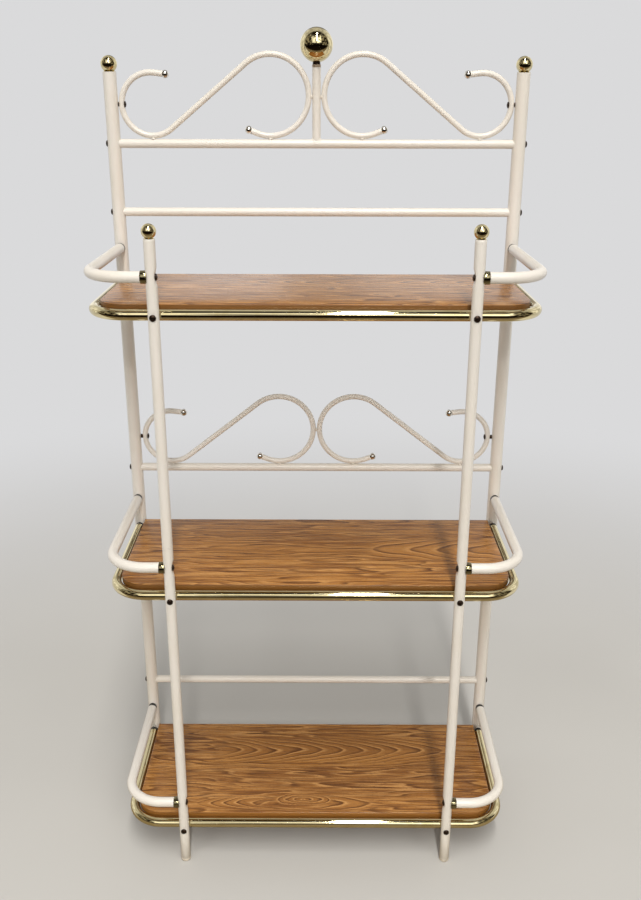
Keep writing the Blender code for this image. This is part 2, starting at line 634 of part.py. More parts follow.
def ball_arc(radius, centre, lowest_radius, sides):
    """Profile of a ball from its top down to where its radius has shrunk to lowest_radius."""
    end = -math.acos(min(lowest_radius / radius, 1))
    steps = sides * 2 // 5
    angles = [math.pi / 2 + (end - math.pi / 2) * step / steps for step in range(steps + 1)]
    return [(max(radius * math.cos(a), 0), centre + radius * math.sin(a)) for a in angles]


def finial(name, place, ball_radius, tube_radius):
    """Turned brass ball on a thin flange, with a spigot for the tube's bore."""
    flange = tube_radius - FINIAL_FLANGE_INSET
    neck = tube_radius * FINIAL_NECK_SHARE
    base = TOUCH_GAP + FINIAL_FLANGE_HEIGHT
    centre = base + math.sqrt(max(ball_radius ** 2 - neck ** 2, 0))
    spigot = tube_radius - TUBE_WALL - TOUCH_GAP
    profile = ball_arc(ball_radius, centre, neck, BALL_SIDES)
    profile += [(flange, base), (flange, TOUCH_GAP), (spigot, TOUCH_GAP), (spigot, -SPIGOT_LENGTH),
                (0, -SPIGOT_LENGTH)]
    mesh = turned(name, profile, BALL_SIDES)
    mesh.transform(Matrix.Translation(place))
    add_part(name, mesh, BRASS)


def finials():
    for side, sign in SIDES:
        finial(f"finial_rear_{side}", (sign * REAR_X, REAR_Y, REAR_TUBE_TOP), REAR_BALL_RADIUS, REAR_TUBE_RADIUS)
        finial(f"finial_front_{side}", (sign * FRONT_X, FRONT_Y, FRONT_TUBE_TOP), FRONT_BALL_RADIUS,
               FRONT_TUBE_RADIUS)


def crest():
    """Centre post on the crest bar, and its large ball with a collared stem."""
    top = CREST_BAR_HEIGHT + POST_TOP_ABOVE_CREST
    rod = [((0, REAR_Y, CREST_BAR_HEIGHT), (0, REAR_Y, top), POST_RADIUS)]
    post = add_part("crest_post", cylinders("crest_post", rod, UPRIGHT_SIDES), ENAMEL)
    reach = POST_RADIUS + CUT_OVERRUN
    cope = [((-reach, REAR_Y, CREST_BAR_HEIGHT), (reach, REAR_Y, CREST_BAR_HEIGHT), CROSSBAR_RADIUS + TOUCH_GAP)]
    boolean(post, add_cutter("crest_post_cope", cylinders("cope", cope, SADDLE_SIDES)))
    bore = [((0, REAR_Y, CREST_BAR_HEIGHT), (0, REAR_Y, top + CUT_OVERRUN), POST_RADIUS - TUBE_WALL)]
    boolean(post, add_cutter("crest_post_bore", cylinders("bore", bore, BORE_SIDES)))
    spigot = (POST_RADIUS - TUBE_WALL) * math.cos(math.pi / BORE_SIDES) - TOUCH_GAP
    collar_bottom = top + TOUCH_GAP
    collar_top = collar_bottom + COLLAR_HEIGHT
    centre = collar_top + CREST_NECK_HEIGHT + CREST_BALL_RADIUS
    profile = ball_arc(CREST_BALL_RADIUS, centre, CREST_NECK_RADIUS, CREST_BALL_SIDES)
    profile += [(CREST_NECK_RADIUS, collar_top), (COLLAR_RADIUS, collar_top), (COLLAR_RADIUS, collar_bottom),
                (spigot, collar_bottom), (spigot, top - SPIGOT_LENGTH), (0, top - SPIGOT_LENGTH)]
    ball = turned("crest_ball", profile, CREST_BALL_SIDES)
    ball.transform(Matrix.Translation((0, REAR_Y, 0)))
    add_part("crest_ball", ball, BRASS)


def foot_caps():
    """Plastic caps with a plug in the tube and a rounded foot under it."""
    corners = (("rear", REAR_X, REAR_Y, REAR_TUBE_RADIUS), ("front", FRONT_X, FRONT_Y, FRONT_TUBE_RADIUS))
    for row, x, y, radius in corners:
        plug = radius - TUBE_WALL - TOUCH_GAP
        top = CAP_HEIGHT + CAP_PLUG_LENGTH
        foot = arc((radius - CAP_ROUND, CAP_ROUND), CAP_ROUND, 0, -math.pi / 2, 2)
        profile = [(0, top), (plug, top), (plug, CAP_HEIGHT), (radius, CAP_HEIGHT), *foot, (0, 0)]
        mesh = turned("foot_cap", profile, CAP_SIDES)
        for side, sign in SIDES:
            copy = mesh.copy()
            copy.transform(Matrix.Translation((sign * x, y, 0)))
            add_part(f"foot_cap_{row}_{side}", copy, PLASTIC)


def front_bolts():
    """Bolts of the front uprights: one into each rail, and one through a ferrule into each arm."""
    arm_end = FRONT_X + FRONT_TUBE_RADIUS + FERRULE_LENGTH - FERRULE_SOCKET_DEPTH + TOUCH_GAP
    rail_length = RAIL_Y - RAIL_RADIUS - RAIL_BOLT_SEAT + BOLT_BITE
    arm_length = arm_end - ARM_BOLT_SEAT + BOLT_BITE
    for tier, height in RAIL_HEIGHTS.items():
        for side, sign in SIDES:
            bolt(f"rail_bolt_{tier}_{side}", Vector((sign * FRONT_X, RAIL_BOLT_SEAT, height)), Y_AXIS, rail_length)
            bolt(f"arm_bolt_{tier}_{side}", Vector((sign * ARM_BOLT_SEAT, FRONT_Y, height + ARM_ABOVE_RAIL)),
                 sign * X_AXIS, arm_length)


clear_scene()
PARTS = new_collection("tiered_shelf")
CUTTERS = new_collection("cutters")
rear_uprights()
front_uprights()
crossbars()
shelf_rails()
shelf_boards()
gallery_arms()
scrolls()
finials()
crest()
foot_caps()
front_bolts()
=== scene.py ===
"""Looks of the tiered shelf, laid out as a Blender add-on and run as a script.

Metres, +X to the right as seen from the front, +Y to the back, +Z up.
"""
import math

import bmesh
import bpy
from bpy.props import FloatProperty, FloatVectorProperty, IntProperty, PointerProperty
from mathutils import Matrix, Vector


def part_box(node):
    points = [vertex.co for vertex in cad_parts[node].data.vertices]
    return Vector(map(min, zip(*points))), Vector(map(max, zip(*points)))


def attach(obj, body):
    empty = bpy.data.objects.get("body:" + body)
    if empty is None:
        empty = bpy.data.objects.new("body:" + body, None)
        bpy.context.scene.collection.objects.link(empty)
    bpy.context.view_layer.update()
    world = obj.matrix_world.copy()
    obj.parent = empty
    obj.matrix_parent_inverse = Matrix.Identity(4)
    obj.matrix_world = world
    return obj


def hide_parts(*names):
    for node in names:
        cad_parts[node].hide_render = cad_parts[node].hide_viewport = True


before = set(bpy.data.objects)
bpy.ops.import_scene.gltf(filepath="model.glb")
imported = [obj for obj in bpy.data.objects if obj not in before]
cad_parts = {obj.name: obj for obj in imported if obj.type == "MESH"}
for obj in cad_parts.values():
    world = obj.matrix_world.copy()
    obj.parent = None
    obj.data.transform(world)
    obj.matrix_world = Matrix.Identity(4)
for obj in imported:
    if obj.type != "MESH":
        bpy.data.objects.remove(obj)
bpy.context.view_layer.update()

bl_info = {
    "name": "Tiered Shelf",
    "version": (1, 0, 0),
    "blender": (4, 5, 0),
    "location": "View3D > Sidebar > Shelf",
    "description": "Dresses a tubular shelf with enamel, brass and laminate",
    "category": "Object",
}

SIDES = (("left", -1), ("right", 1))
TIERS = ("bottom", "middle", "top")
SCROLL_ROWS = ("middle", "top")
X_AXIS = Vector((1, 0, 0))
Y_AXIS = Vector((0, 1, 0))
Z_AXIS = Vector((0, 0, 1))
QUARTER = math.pi / 2

# Gap between pieces that touch, as in the CAD
TOUCH = 0.0003
# Rounding of a cut tube's rim
RIM = 0.0004
# Vertices closer than this are one
MERGE = 0.00001


def linear(code):
    """Linear colour of an sRGB hex value."""
    parts = [int(code[i:i + 2], 16) / 255 for i in (0, 2, 4)]
    return tuple(c / 12.92 if c <= 0.04045 else ((c + 0.055) / 1.055) ** 2.4 for c in parts)


def centre(node):
    low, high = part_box(node)
    return (low + high) / 2


def tube_of(node):
    """Radius and height of the axis of a level tube, from its box."""
    low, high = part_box(node)
    return (high.z - low.z) / 2, (high.z + low.z) / 2


# Tone of the backdrop and of the floor far from the shelf
BACKDROP = linear("DADADB")

# Places of the frame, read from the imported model
REAR_X, REAR_Y, _ = centre("finial_rear_right")
FRONT_X, FRONT_Y, _ = centre("finial_front_right")
REAR_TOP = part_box("rear_upright_right")[1].z
FRONT_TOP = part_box("front_upright_right")[1].z
TUBE_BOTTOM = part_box("front_upright_right")[0].z
TUBE_END_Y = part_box("gallery_arm_top_right")[1].y
RAILS = {tier: tube_of(f"shelf_rail_{tier}")[1] for tier in TIERS}
ARMS = {tier: tube_of(f"gallery_arm_{tier}_right")[1] for tier in TIERS}
BARS = {tier: tube_of(f"crossbar_{tier}")[1] for tier in (*TIERS, "crest")}
RAIL_RADIUS = tube_of("shelf_rail_top")[0]
ARM_RADIUS = tube_of("gallery_arm_top_right")[0]
BAR_RADIUS = tube_of("crossbar_crest")[0]
RAIL_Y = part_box("shelf_rail_top")[0].y + RAIL_RADIUS


class ShelfSizes(bpy.types.PropertyGroup):
    """Sizes that the frame's boxes don't give."""
    rear_radius: FloatProperty(name="Rear tube radius", description="Outer radius of a rear upright",
                               default=0.0143, unit="LENGTH", precision=4)
    front_radius: FloatProperty(name="Front tube radius", description="Outer radius of a front upright",
                                default=0.0111, unit="LENGTH", precision=4)
    wall: FloatProperty(name="Tube wall", description="Thickness of the tube walls", default=0.0012,
                        unit="LENGTH", precision=4)
    rail_bend: FloatProperty(name="Rail bend", description="Radius of a rail's corners, to its axis",
                             default=0.075, unit="LENGTH", precision=4)
    arm_bend: FloatProperty(name="Arm bend", description="Radius of an arm's corner, to its axis",
                            default=0.080, unit="LENGTH", precision=4)
    rod_radius: FloatProperty(name="Scroll rod radius", description="Radius of the scrolls' rod",
                              default=0.00635, unit="LENGTH", precision=5)
    small_loop: FloatProperty(name="Small loop", description="Outer radius of a scroll's small loop",
                              default=0.070, unit="LENGTH", precision=4)
    large_loop: FloatProperty(name="Large loop", description="Outer radius of a scroll's large loop",
                              default=0.0884, unit="LENGTH", precision=4)
    hook_tail: FloatProperty(name="Hook tail", description="Straight end of the small loop",
                             default=0.022, unit="LENGTH", precision=4)
    curl_tail: FloatProperty(name="Curl tail", description="Straight end of the large loop",
                             default=0.017, unit="LENGTH", precision=4)
    head_radius: FloatProperty(name="Bolt head radius", description="Radius of a button head",
                               default=0.0067, unit="LENGTH", precision=4)
    head_height: FloatProperty(name="Bolt head height", description="Height of a button head",
                               default=0.0038, unit="LENGTH", precision=4)
    # The dark plug flange is painted shade: its dark band stands for the shadow gap where a tube's end meets
    # a rear upright, and this thickness sets how much of it shows
    flange: FloatProperty(name="Plug flange", description="Thickness of the dark plugs' flanges",
                          default=0.0095, unit="LENGTH", precision=4)
    tube_sides: IntProperty(name="Tube sides", description="Faces round a tube", default=40, min=12, max=96)


class ShelfColours(bpy.types.PropertyGroup):
    """Colours of the finishes."""
    enamel: FloatVectorProperty(name="Enamel", description="Cream enamel of the tubes", subtype="COLOR",
                                default=linear("E6DFD4"), min=0, max=1)
    brass: FloatVectorProperty(name="Brass", description="Polished brass plate", subtype="COLOR",
                               default=linear("DCCFA6"), min=0, max=1)
    ferrule: FloatVectorProperty(name="Ferrules", description="Antique brass plate of the ferrules",
                                 subtype="COLOR", default=linear("8F8668"), min=0, max=1)
    nickel: FloatVectorProperty(name="Nickel", description="Bright nickel plate", subtype="COLOR",
                                default=linear("E2DFDA"), min=0, max=1)
    bronze: FloatVectorProperty(name="Dark bolts", description="Oil-bronzed steel", subtype="COLOR",
                                default=linear("3A2D24"), min=0, max=1)
    # Plain brown tone of the collar under the large ball
    collar: FloatVectorProperty(name="Collar", description="Browned brass under the large ball",
                                subtype="COLOR", default=linear("B9A48C"), min=0, max=1)
    wood_light: FloatVectorProperty(name="Light grain", description="Early wood of the printed grain",
                                    subtype="COLOR", default=linear("B87D3B"), min=0, max=1)
    wood_dark: FloatVectorProperty(name="Dark grain", description="Late wood of the printed grain",
                                   subtype="COLOR", default=linear("6C3C0E"), min=0, max=1)
    caps: FloatVectorProperty(name="Foot caps", description="Cream plastic of the foot caps",
                              subtype="COLOR", default=linear("DDD2BF"), min=0, max=1)
    # Colour of the dark plug flange at the rails' and arms' rear ends: painted shade for the shadow gap at
    # the rear uprights
    painted_shade_plugs: FloatVectorProperty(name="Plugs", description="Dark plastic in the ends of rails and arms",
                               subtype="COLOR", default=linear("1E1B18"), min=0, max=1)
    floor: FloatVectorProperty(name="Floor", description="Plain pale floor", subtype="COLOR",
                               default=linear("C6C3BD"), min=0, max=1)


# ---- materials

MATERIALS = {}
# Settings that many nodes share
SOFT = {"interpolation_type": "SMOOTHSTEP"}
TINT = {"data_type": "RGBA"}


def fill(tree, node, inputs):
    """Set or link a node's inputs. They are a dict, or a list for its live sockets in their order.

    A node among them is linked by its first live output.
    """
    if not isinstance(inputs, dict):
        live = [index for index, socket in enumerate(node.inputs) if socket.enabled]
        inputs = dict(zip(live, inputs))
    for key, value in inputs.items():
        if isinstance(value, bpy.types.Node):
            value = next(socket for socket in value.outputs if socket.enabled)
        if isinstance(value, bpy.types.NodeSocket):
            tree.links.new(value, node.inputs[key])
        else:
            node.inputs[key].default_value = value


def add(tree, kind, inputs=(), **settings):
    """Add a shader node with its settings and inputs."""
    made = tree.nodes.new("ShaderNode" + kind)
    for key, value in settings.items():
        setattr(made, key, value)
    fill(tree, made, inputs)
    return made


def new_material(name, **constants):
    """A material with these plain values, with its tree, its shader and its Object coordinates."""
    material = bpy.data.materials.new(name)
    material.use_nodes = True
    tree = material.node_tree
    shader = tree.nodes["Principled BSDF"]
    for socket, value in constants.items():
        shader.inputs[socket.replace("_", " ")].default_value = value
    return material, tree, shader, add(tree, "TexCoord").outputs["Object"]


def patches(tree, place, scale, detail, *span):
    """Soft-edged patches: noise with so many features a metre, cut where it goes from low to high.

    The span is low and high, then what they become where that isn't 0 and 1.
    """
    cloud = add(tree, "TexNoise", {"Vector": place, "Scale": scale, "Detail": detail})
    return add(tree, "MapRange", [cloud, *span], **SOFT)


def stretched(tree, place, scale, detail, shift=(0, 0, 0)):
    """Noise with so many features a metre along X, Y and Z."""
    lay = add(tree, "Mapping", {"Vector": place, "Scale": scale, "Location": shift})
    return add(tree, "TexNoise", {"Vector": lay, "Scale": 1, "Detail": detail})


def rgba(colour, factor=1.0):
    return (*[min(channel * factor, 1) for channel in colour], 1)


def gloss_enamel(colour):
    """Stoved cream enamel on steel tube: a smooth glossy film with a faint orange peel and a few rubs."""
    material, tree, shader, place = new_material("stoved_cream_enamel", IOR=1.5, Coat_Weight=0.25,
                                                 Coat_Roughness=0.28)
    warm = (colour[0] * 0.95, colour[1] * 0.91, colour[2] * 0.82)
    cloud = add(tree, "Math", [patches(tree, place, 9, 3, 0.35, 0.68), 0.25], operation="MULTIPLY")
    base = add(tree, "Mix", [cloud, rgba(colour), rgba(warm)], **TINT)
    rub = patches(tree, place, 60, 5, 0.72, 0.77, 0, 0.3)
    # Orange peel is about 1.5 mm from crest to crest
    peel = add(tree, "TexNoise", {"Vector": place, "Scale": 650, "Detail": 1})
    fill(tree, shader, {
        "Base Color": add(tree, "Mix", [rub, base, rgba(colour, 0.62)], **TINT),
        "Roughness": patches(tree, place, 30, 3, 0.3, 0.7, 0.30, 0.42),
        "Normal": add(tree, "Bump", {"Height": peel, "Distance": 0.000004, "Strength": 0.5})})
    return material


def bright_plate(name, colour, dull, rough):
    """Polished and lacquered plate: mirror bright, with cloudy handling marks and small dull freckles."""
    material, tree, shader, place = new_material(name, Metallic=1.0)
    cloud = patches(tree, place, 38, 4, 0.45, 0.75)
    freckle = patches(tree, place, 420, 3, 0.66, 0.74)
    base = rgba(colour)
    for mark, share, tone in ((cloud, 0.45, rgba(dull)), (freckle, 0.6, rgba(dull, 0.6))):
        share = add(tree, "Math", [mark, share], operation="MULTIPLY")
        base = add(tree, "Mix", [share, base, tone], **TINT)
    haze = [add(tree, "MapRange", [mark, 0, 1, rough, dullest], **SOFT)
            for mark, dullest in ((cloud, rough * 1.4), (freckle, 0.4))]
    # Draw marks of the tube, a few millimetres apart
    drawn = add(tree, "TexNoise", {"Vector": place, "Scale": 120, "Detail": 2})
    fill(tree, shader, {
        "Base Color": base,
        "Roughness": add(tree, "Math", haze, operation="MAXIMUM"),
        "Normal": add(tree, "Bump", {"Height": drawn, "Distance": 0.00001, "Strength": 0.15})})
    return material


def dark_fastener(colour):
    """Oil-bronzed steel: a brown-black satin skin, rubbed lighter in patches."""
    material, tree, shader, place = new_material("oil_bronzed_steel", Metallic=0.85)
    worn = patches(tree, place, 700, 3, 0.55, 0.7)
    fill(tree, shader, {"Base Color": add(tree, "Mix", [worn, rgba(colour), rgba(colour, 2.4)], **TINT),
                        "Roughness": patches(tree, place, 900, 2, 0.3, 0.7, 0.22, 0.42)})
    return material


def brown_collar_finish(colour):
    """Dull brown collar finish under the large ball, with darker horizontal bands."""
    material, tree, shader, place = new_material("brown_collar_material", Metallic=0.25)
    band = stretched(tree, place, (90, 90, 900), 2)
    band = add(tree, "MapRange", [band, 0.35, 0.7], **SOFT)
    fill(tree, shader, {"Base Color": add(tree, "Mix", [band, rgba(colour), rgba(colour, 0.5)], **TINT),
                        "Roughness": add(tree, "MapRange", [band, 0, 1, 0.3, 0.5], **SOFT)})
    return material


def moulded_plastic(name, colour, rough):
    """Injection-moulded plastic with a fine spark-eroded texture, 0.4 mm in grain."""
    material, tree, shader, place = new_material(name, IOR=1.46)
    scuff = patches(tree, place, 120, 4, 0.5, 0.75)
    spark = add(tree, "TexNoise", {"Vector": place, "Scale": 2500, "Detail": 1})
    fill(tree, shader, {
        "Base Color": add(tree, "Mix", [scuff, rgba(colour), rgba(colour, 0.7)], **TINT),
        "Roughness": add(tree, "MapRange", [scuff, 0, 1, rough, rough + 0.2], **SOFT),
        "Normal": add(tree, "Bump", {"Height": spark, "Distance": 0.00004, "Strength": 0.7})})
    return material


def particle_board():
    """Bare particle board of a board's underside: pressed chips, 2 to 4 mm across."""
    material, tree, shader, place = new_material("bare_particle_board", Roughness=0.8)
    chip = add(tree, "TexVoronoi", {"Vector": place, "Scale": 330.0}).outputs["Color"]
    shade = add(tree, "Math", [add(tree, "SeparateColor", [chip]), 0.8], operation="MULTIPLY")
    tone = add(tree, "Mix", [shade, rgba(linear("B79A6C")), rgba(linear("8A6A42"))], **TINT)
    fill(tree, shader, {"Base Color": tone,
                        "Normal": add(tree, "Bump", {"Height": shade, "Distance": 0.0002, "Strength": 0.6})})
    return material


def edge_band(name, light, dark):
    """Melamine edge band in the darker print of the board's rim, its grain running round the board."""
    material, tree, shader, place = new_material(name, IOR=1.5)
    streak = stretched(tree, place, (8, 8, 900), 3)
    deep = [a * 0.25 + b * 0.75 for a, b in zip(light, dark)]
    fill(tree, shader, {
        "Base Color": add(tree, "Mix", [streak, rgba(deep, 1.15), rgba(dark, 0.62)], **TINT),
        "Roughness": add(tree, "MapRange", [streak, 0.3, 0.7, 0.34, 0.46], **SOFT),
        "Normal": add(tree, "Bump", {"Height": streak, "Distance": 0.00004, "Strength": 0.6})})
    return material


def year_rings(tree, path, pitch, contrast):
    """Late wood as a dark line with a soft inner side, and the pale early wood next to it."""
    year = add(tree, "Math", [path, pitch], operation="DIVIDE")
    year = add(tree, "Math", [year], operation="FRACT")
    rings = []
    for rise, fall in (((0.62, 0.93), (1.0, 0.95)), ((0.0, 0.06), (0.34, 0.08))):
        flanks = [add(tree, "MapRange", [year, *flank], **SOFT) for flank in (rise, fall)]
        line = add(tree, "Math", flanks, operation="MULTIPLY")
        rings.append(add(tree, "Math", [line, contrast], operation="MULTIPLY"))
    return rings


def arches(tree, place, figure, sway):
    """One row of long nested arches along X: its path, where it shows and the length of a year.

    A figure holds the side its tips point to, the row's place in Y, its half width, how fast the
    arches spread, the length of a year's growth at a tip and the row's two ends in X.
    """
    aim, row_y, half_width, steepness, pitch, start, stop = figure
    along, across, _ = add(tree, "SeparateXYZ", [place]).outputs
    across = add(tree, "Math", [across, row_y], operation="SUBTRACT")
    across = add(tree, "Math", [across, sway], operation="ADD")
    across = add(tree, "Math", [across], operation="ABSOLUTE")
    arch = add(tree, "Math", [across, 1.6], operation="POWER")
    arch = add(tree, "Math", [arch, steepness], operation="MULTIPLY")
    path = add(tree, "Math", [along, aim], operation="MULTIPLY")
    path = add(tree, "Math", [path, arch], operation="ADD")
    shown = add(tree, "MapRange", [across, half_width, half_width * 0.55], **SOFT)
    for fade in ((start - 0.04, start + 0.02), (stop + 0.05, stop - 0.02)):
        fade = add(tree, "MapRange", [along, *fade], **SOFT)
        shown = add(tree, "Math", [shown, fade], operation="MULTIPLY")
    wander = add(tree, "Math", [stretched(tree, place, (7, 5, 0), 2), pitch * 1.5], operation="MULTIPLY")
    return add(tree, "Math", [path, wander], operation="ADD"), shown, pitch


def knot(tree, place, middle, size):
    """A long knot with rings round it: its path, where it shows and the width of a ring."""
    along, across, _ = add(tree, "SeparateXYZ", [place]).outputs
    along = add(tree, "Math", [along, middle[0]], operation="SUBTRACT")
    along = add(tree, "Math", [along, 0.30], operation="MULTIPLY")
    across = add(tree, "Math", [across, middle[1]], operation="SUBTRACT")
    squares = [add(tree, "Math", [length, length], operation="MULTIPLY") for length in (along, across)]
    reach = add(tree, "Math", squares, operation="ADD")
    reach = add(tree, "Math", [reach], operation="SQRT")
    wander = add(tree, "Math", [stretched(tree, place, (22, 40, 0), 3), size * 0.5], operation="MULTIPLY")
    reach = add(tree, "Math", [reach, wander], operation="ADD")
    return reach, add(tree, "MapRange", [reach, size * 1.45, size * 1.1], **SOFT), size * 0.28


# Noises of the printed grain: features a metre along X, Y and Z, and detail
GRAIN = {"sway": ((9, 5, 0), 2), "patchy": ((5, 30, 0), 3), "straight": ((1.6, 14, 0), 2.5),
         "streak": ((4, 110, 3), 6), "fibre": ((12, 190, 9), 4), "fleck": ((150, 420, 60), 2),
         "broad": ((2.2, 12, 2), 2)}


def wood_laminate(name, light, dark, figures, knots, shift, ior):
    """Printed oak-figure melamine on particle board: satin film, brown flat-sawn arches and short pores."""
    material, tree, shader, place = new_material(name, IOR=ior)
    grain = {key: stretched(tree, place, scale, detail, shift) for key, (scale, detail) in GRAIN.items()}
    streak, fibre, fleck, patchy = (grain[key] for key in ("streak", "fibre", "fleck", "patchy"))

    # Year rings: straight ones, and over them the arches and knots
    sway = add(tree, "Math", [grain["sway"], 0.5], operation="SUBTRACT")
    sway = add(tree, "Math", [sway, 0.016], operation="MULTIPLY")
    late, early = year_rings(tree, grain["straight"], 0.062,
                             add(tree, "MapRange", [patchy, 0.36, 0.62, 0.45, 1.0], **SOFT))
    shapes = [arches(tree, place, figure, sway) for figure in figures]
    shapes += [knot(tree, place, middle, size) for middle, size in knots]
    figured = 0.0
    for path, shown, pitch in shapes:
        figured = add(tree, "Math", [figured, shown], operation="MAXIMUM")
        own = year_rings(tree, path, pitch, add(tree, "MapRange", [patchy, 0.30, 0.55, 0.45, 1.0], **SOFT))
        late, early = (add(tree, "Mix", [shown, *pair]) for pair in zip((late, early), own))
    # Streaks and fibres are calmer where the arches show
    quiet = add(tree, "MapRange", [figured, 0, 1, 1.0, 0.28], **SOFT)

    middle = [a * 0.5 + b * 0.5 for a, b in zip(light, dark)]
    pale = (light[0] * 1.24, light[1] * 1.46, light[2] * 2.15)
    broad = add(tree, "MapRange", [grain["broad"], 0.34, 0.66], **SOFT)
    tone = add(tree, "Mix", [broad, rgba(light), rgba(middle, 1.06)], **TINT)
    # Layers of the print from below: what it follows, the span that shows, its strength and its colour
    for mark, span, strength, ink in ((streak, (0.50, 0.64, 0, 0.62), quiet, rgba(dark, 1.15)),
                                      (streak, (0.48, 0.34, 0, 0.62), quiet, rgba(pale)),
                                      (early, None, 0.80, rgba(pale, 1.15)),
                                      (late, None, 0.95, rgba(dark, 0.72)),
                                      (fibre, (0.48, 0.66, 0, 0.62), quiet, rgba(dark, 0.95)),
                                      (fibre, (0.47, 0.33, 0, 0.50), quiet, rgba(pale)),
                                      (fleck, (0.56, 0.72, 0, 0.45), None, rgba(dark, 0.8))):
        if span:
            mark = add(tree, "MapRange", [mark, *span], **SOFT)
        if strength is not None:
            mark = add(tree, "Math", [mark, strength], operation="MULTIPLY")
        tone = add(tree, "Mix", [mark, tone, ink], **TINT)

    # Pores are pressed 0.05 mm deep in the film
    pores = add(tree, "Math", [fibre, 0.4], operation="MULTIPLY")
    pores = add(tree, "Math", [pores, fleck], operation="SUBTRACT")
    fill(tree, shader, {
        "Base Color": tone,
        "Roughness": add(tree, "MapRange", [fibre, 0.2, 0.8, 0.22, 0.32], **SOFT),
        "Normal": add(tree, "Bump", {"Height": pores, "Distance": 0.00005, "Strength": 0.7})})
    return material


# Each board's print: rows of arches, knots, shift of its noises, depth of its colours, tone of its
# edge band and IOR of its film. The bottom board's lower depth is painted shade: it darkens that
# print for the shade the boards above cast on it.
PRINTS = {
    "bottom": ([(1, 0.061, 0.062, 21, 0.052, -0.22, 0.31), (1, -0.135, 0.030, 30, 0.06, 0.02, 0.12),
                (-1, -0.137, 0.022, 30, 0.035, -0.27, -0.15)],
               [((-0.03, -0.124), 0.021)], (0.31, 0.0, 0), 0.90, 1.45, 1.42),
    "middle": ([(-1, 0.003, 0.066, 16, 0.074, 0.14, 0.43)], [], (0.77, 0.4, 0), 0.97, 1.0, 1.42),
    "top": ([(-1, 0.070, 0.038, 19, 0.064, -0.16, 0.38)], [], (1.93, 1.1, 0), 0.97, 1.0, 1.5),
}


def make_materials(colours):
    """The finishes of this shelf, made once."""
    brass, nickel = tuple(colours.brass), tuple(colours.nickel)
    MATERIALS["enamel"] = gloss_enamel(tuple(colours.enamel))
    MATERIALS["brass"] = bright_plate("lacquered_brass_plate", brass,
                                      (brass[0] * 0.72, brass[1] * 0.66, brass[2] * 0.45), 0.045)
    MATERIALS["ferrule"] = bright_plate("antique_brass_plate", tuple(colours.ferrule), linear("4E4632"), 0.15)
    MATERIALS["nickel"] = bright_plate("bright_nickel_plate", nickel, [c * 0.7 for c in nickel], 0.05)
    MATERIALS["bronze"] = dark_fastener(tuple(colours.bronze))
    MATERIALS["collar"] = brown_collar_finish(tuple(colours.collar))
    MATERIALS["caps"] = moulded_plastic("moulded_cream_polythene", tuple(colours.caps), 0.35)
    # The dark plastic of the plug flange is painted shade, for the shadow gap where tubes meet the rear
    # uprights
    MATERIALS["plug"] = moulded_plastic("black_plug_painted_shade", tuple(colours.painted_shade_plugs), 0.4)
    MATERIALS["core"] = particle_board()
    light, dark = tuple(colours.wood_light), tuple(colours.wood_dark)
    for tier, (rows, knots, shift, depth, tone, ior) in PRINTS.items():
        banded = [c * tone for c in light], [c * tone * more for c, more in zip(dark, (1, 1.3, 2.2))]
        # On the bottom board, depth darkens the print as painted shade from the boards above
        printed = [c * depth for c in light], [c * depth for c in dark]
        MATERIALS[f"edge_{tier}"] = edge_band(f"melamine_edge_band_{tier}", *banded)
        MATERIALS[f"laminate_{tier}"] = wood_laminate(f"oak_print_melamine_{tier}", *printed, rows, knots,
                                                      shift, ior)


# ---- modelling


def ring(bm, radius, sides, place):
    """Edges of a new circle that lies across place's Z axis."""
    verts = bmesh.ops.create_circle(bm, radius=radius, segments=sides, matrix=place)["verts"]
    return list({edge for vert in verts for edge in vert.link_edges})


def verts_of(edges):
    return list({vert for edge in edges for vert in edge.verts})


def grow(bm, edges):
    """Extrude a loop of edges in place and return the new loop with the faces between."""
    made = bmesh.ops.extrude_edge_only(bm, edges=edges)["geom"]
    fresh = {g for g in made if isinstance(g, bmesh.types.BMVert)}
    loop = [g for g in made if isinstance(g, bmesh.types.BMEdge) and set(g.verts) <= fresh]
    faces = [g for g in made if isinstance(g, bmesh.types.BMFace)]
    return loop, faces


def run(bm, edges, step, count=1):
    """Draw a loop along a straight step, in count parts."""
    for _ in range(count):
        edges, _ = grow(bm, edges)
        bmesh.ops.translate(bm, verts=verts_of(edges), vec=step / count)
    return edges


def sweep(bm, edges, pivot, axis, angle, steps):
    """Draw a loop round a bend and return its last place."""
    last = bmesh.ops.spin(bm, geom=verts_of(edges) + edges, cent=pivot, axis=axis, angle=angle, steps=steps,
                          use_merge=False, use_duplicate=False)["geom_last"]
    return [g for g in last if isinstance(g, bmesh.types.BMEdge)]


def squeeze(bm, edges, factor, axis):
    """Shrink a loop towards its middle, across axis only."""
    verts = verts_of(edges)
    middle = sum((v.co for v in verts), Vector()) / len(verts)
    scale = Vector([1 if abs(part) > 0.5 else factor for part in axis])
    bmesh.ops.scale(bm, verts=verts, vec=scale, space=Matrix.Translation(-middle))


def cap(bm, edges):
    """Close a loop with one face."""
    return bmesh.ops.contextual_create(bm, geom=edges)["faces"]


def rounded_end(bm, edges, radius):
    """Round the upper rim of a standing tube and close it."""
    edges = run(bm, edges, Z_AXIS * RIM)
    squeeze(bm, edges, (radius - RIM) / radius, Z_AXIS)
    cap(bm, edges)


def standing_tube(start, radius, sides, levels):
    """Upright tube with rounded rims, drawn from start through these heights."""
    bm = bmesh.new()
    edges = ring(bm, radius - RIM, sides, Matrix.Translation(start))
    cap(bm, edges)
    edges = run(bm, edges, Z_AXIS * RIM)
    squeeze(bm, edges, radius / (radius - RIM), Z_AXIS)
    for low, high in zip(levels, levels[1:]):
        edges = run(bm, edges, Z_AXIS * (high - low))
    rounded_end(bm, edges, radius)
    return bm


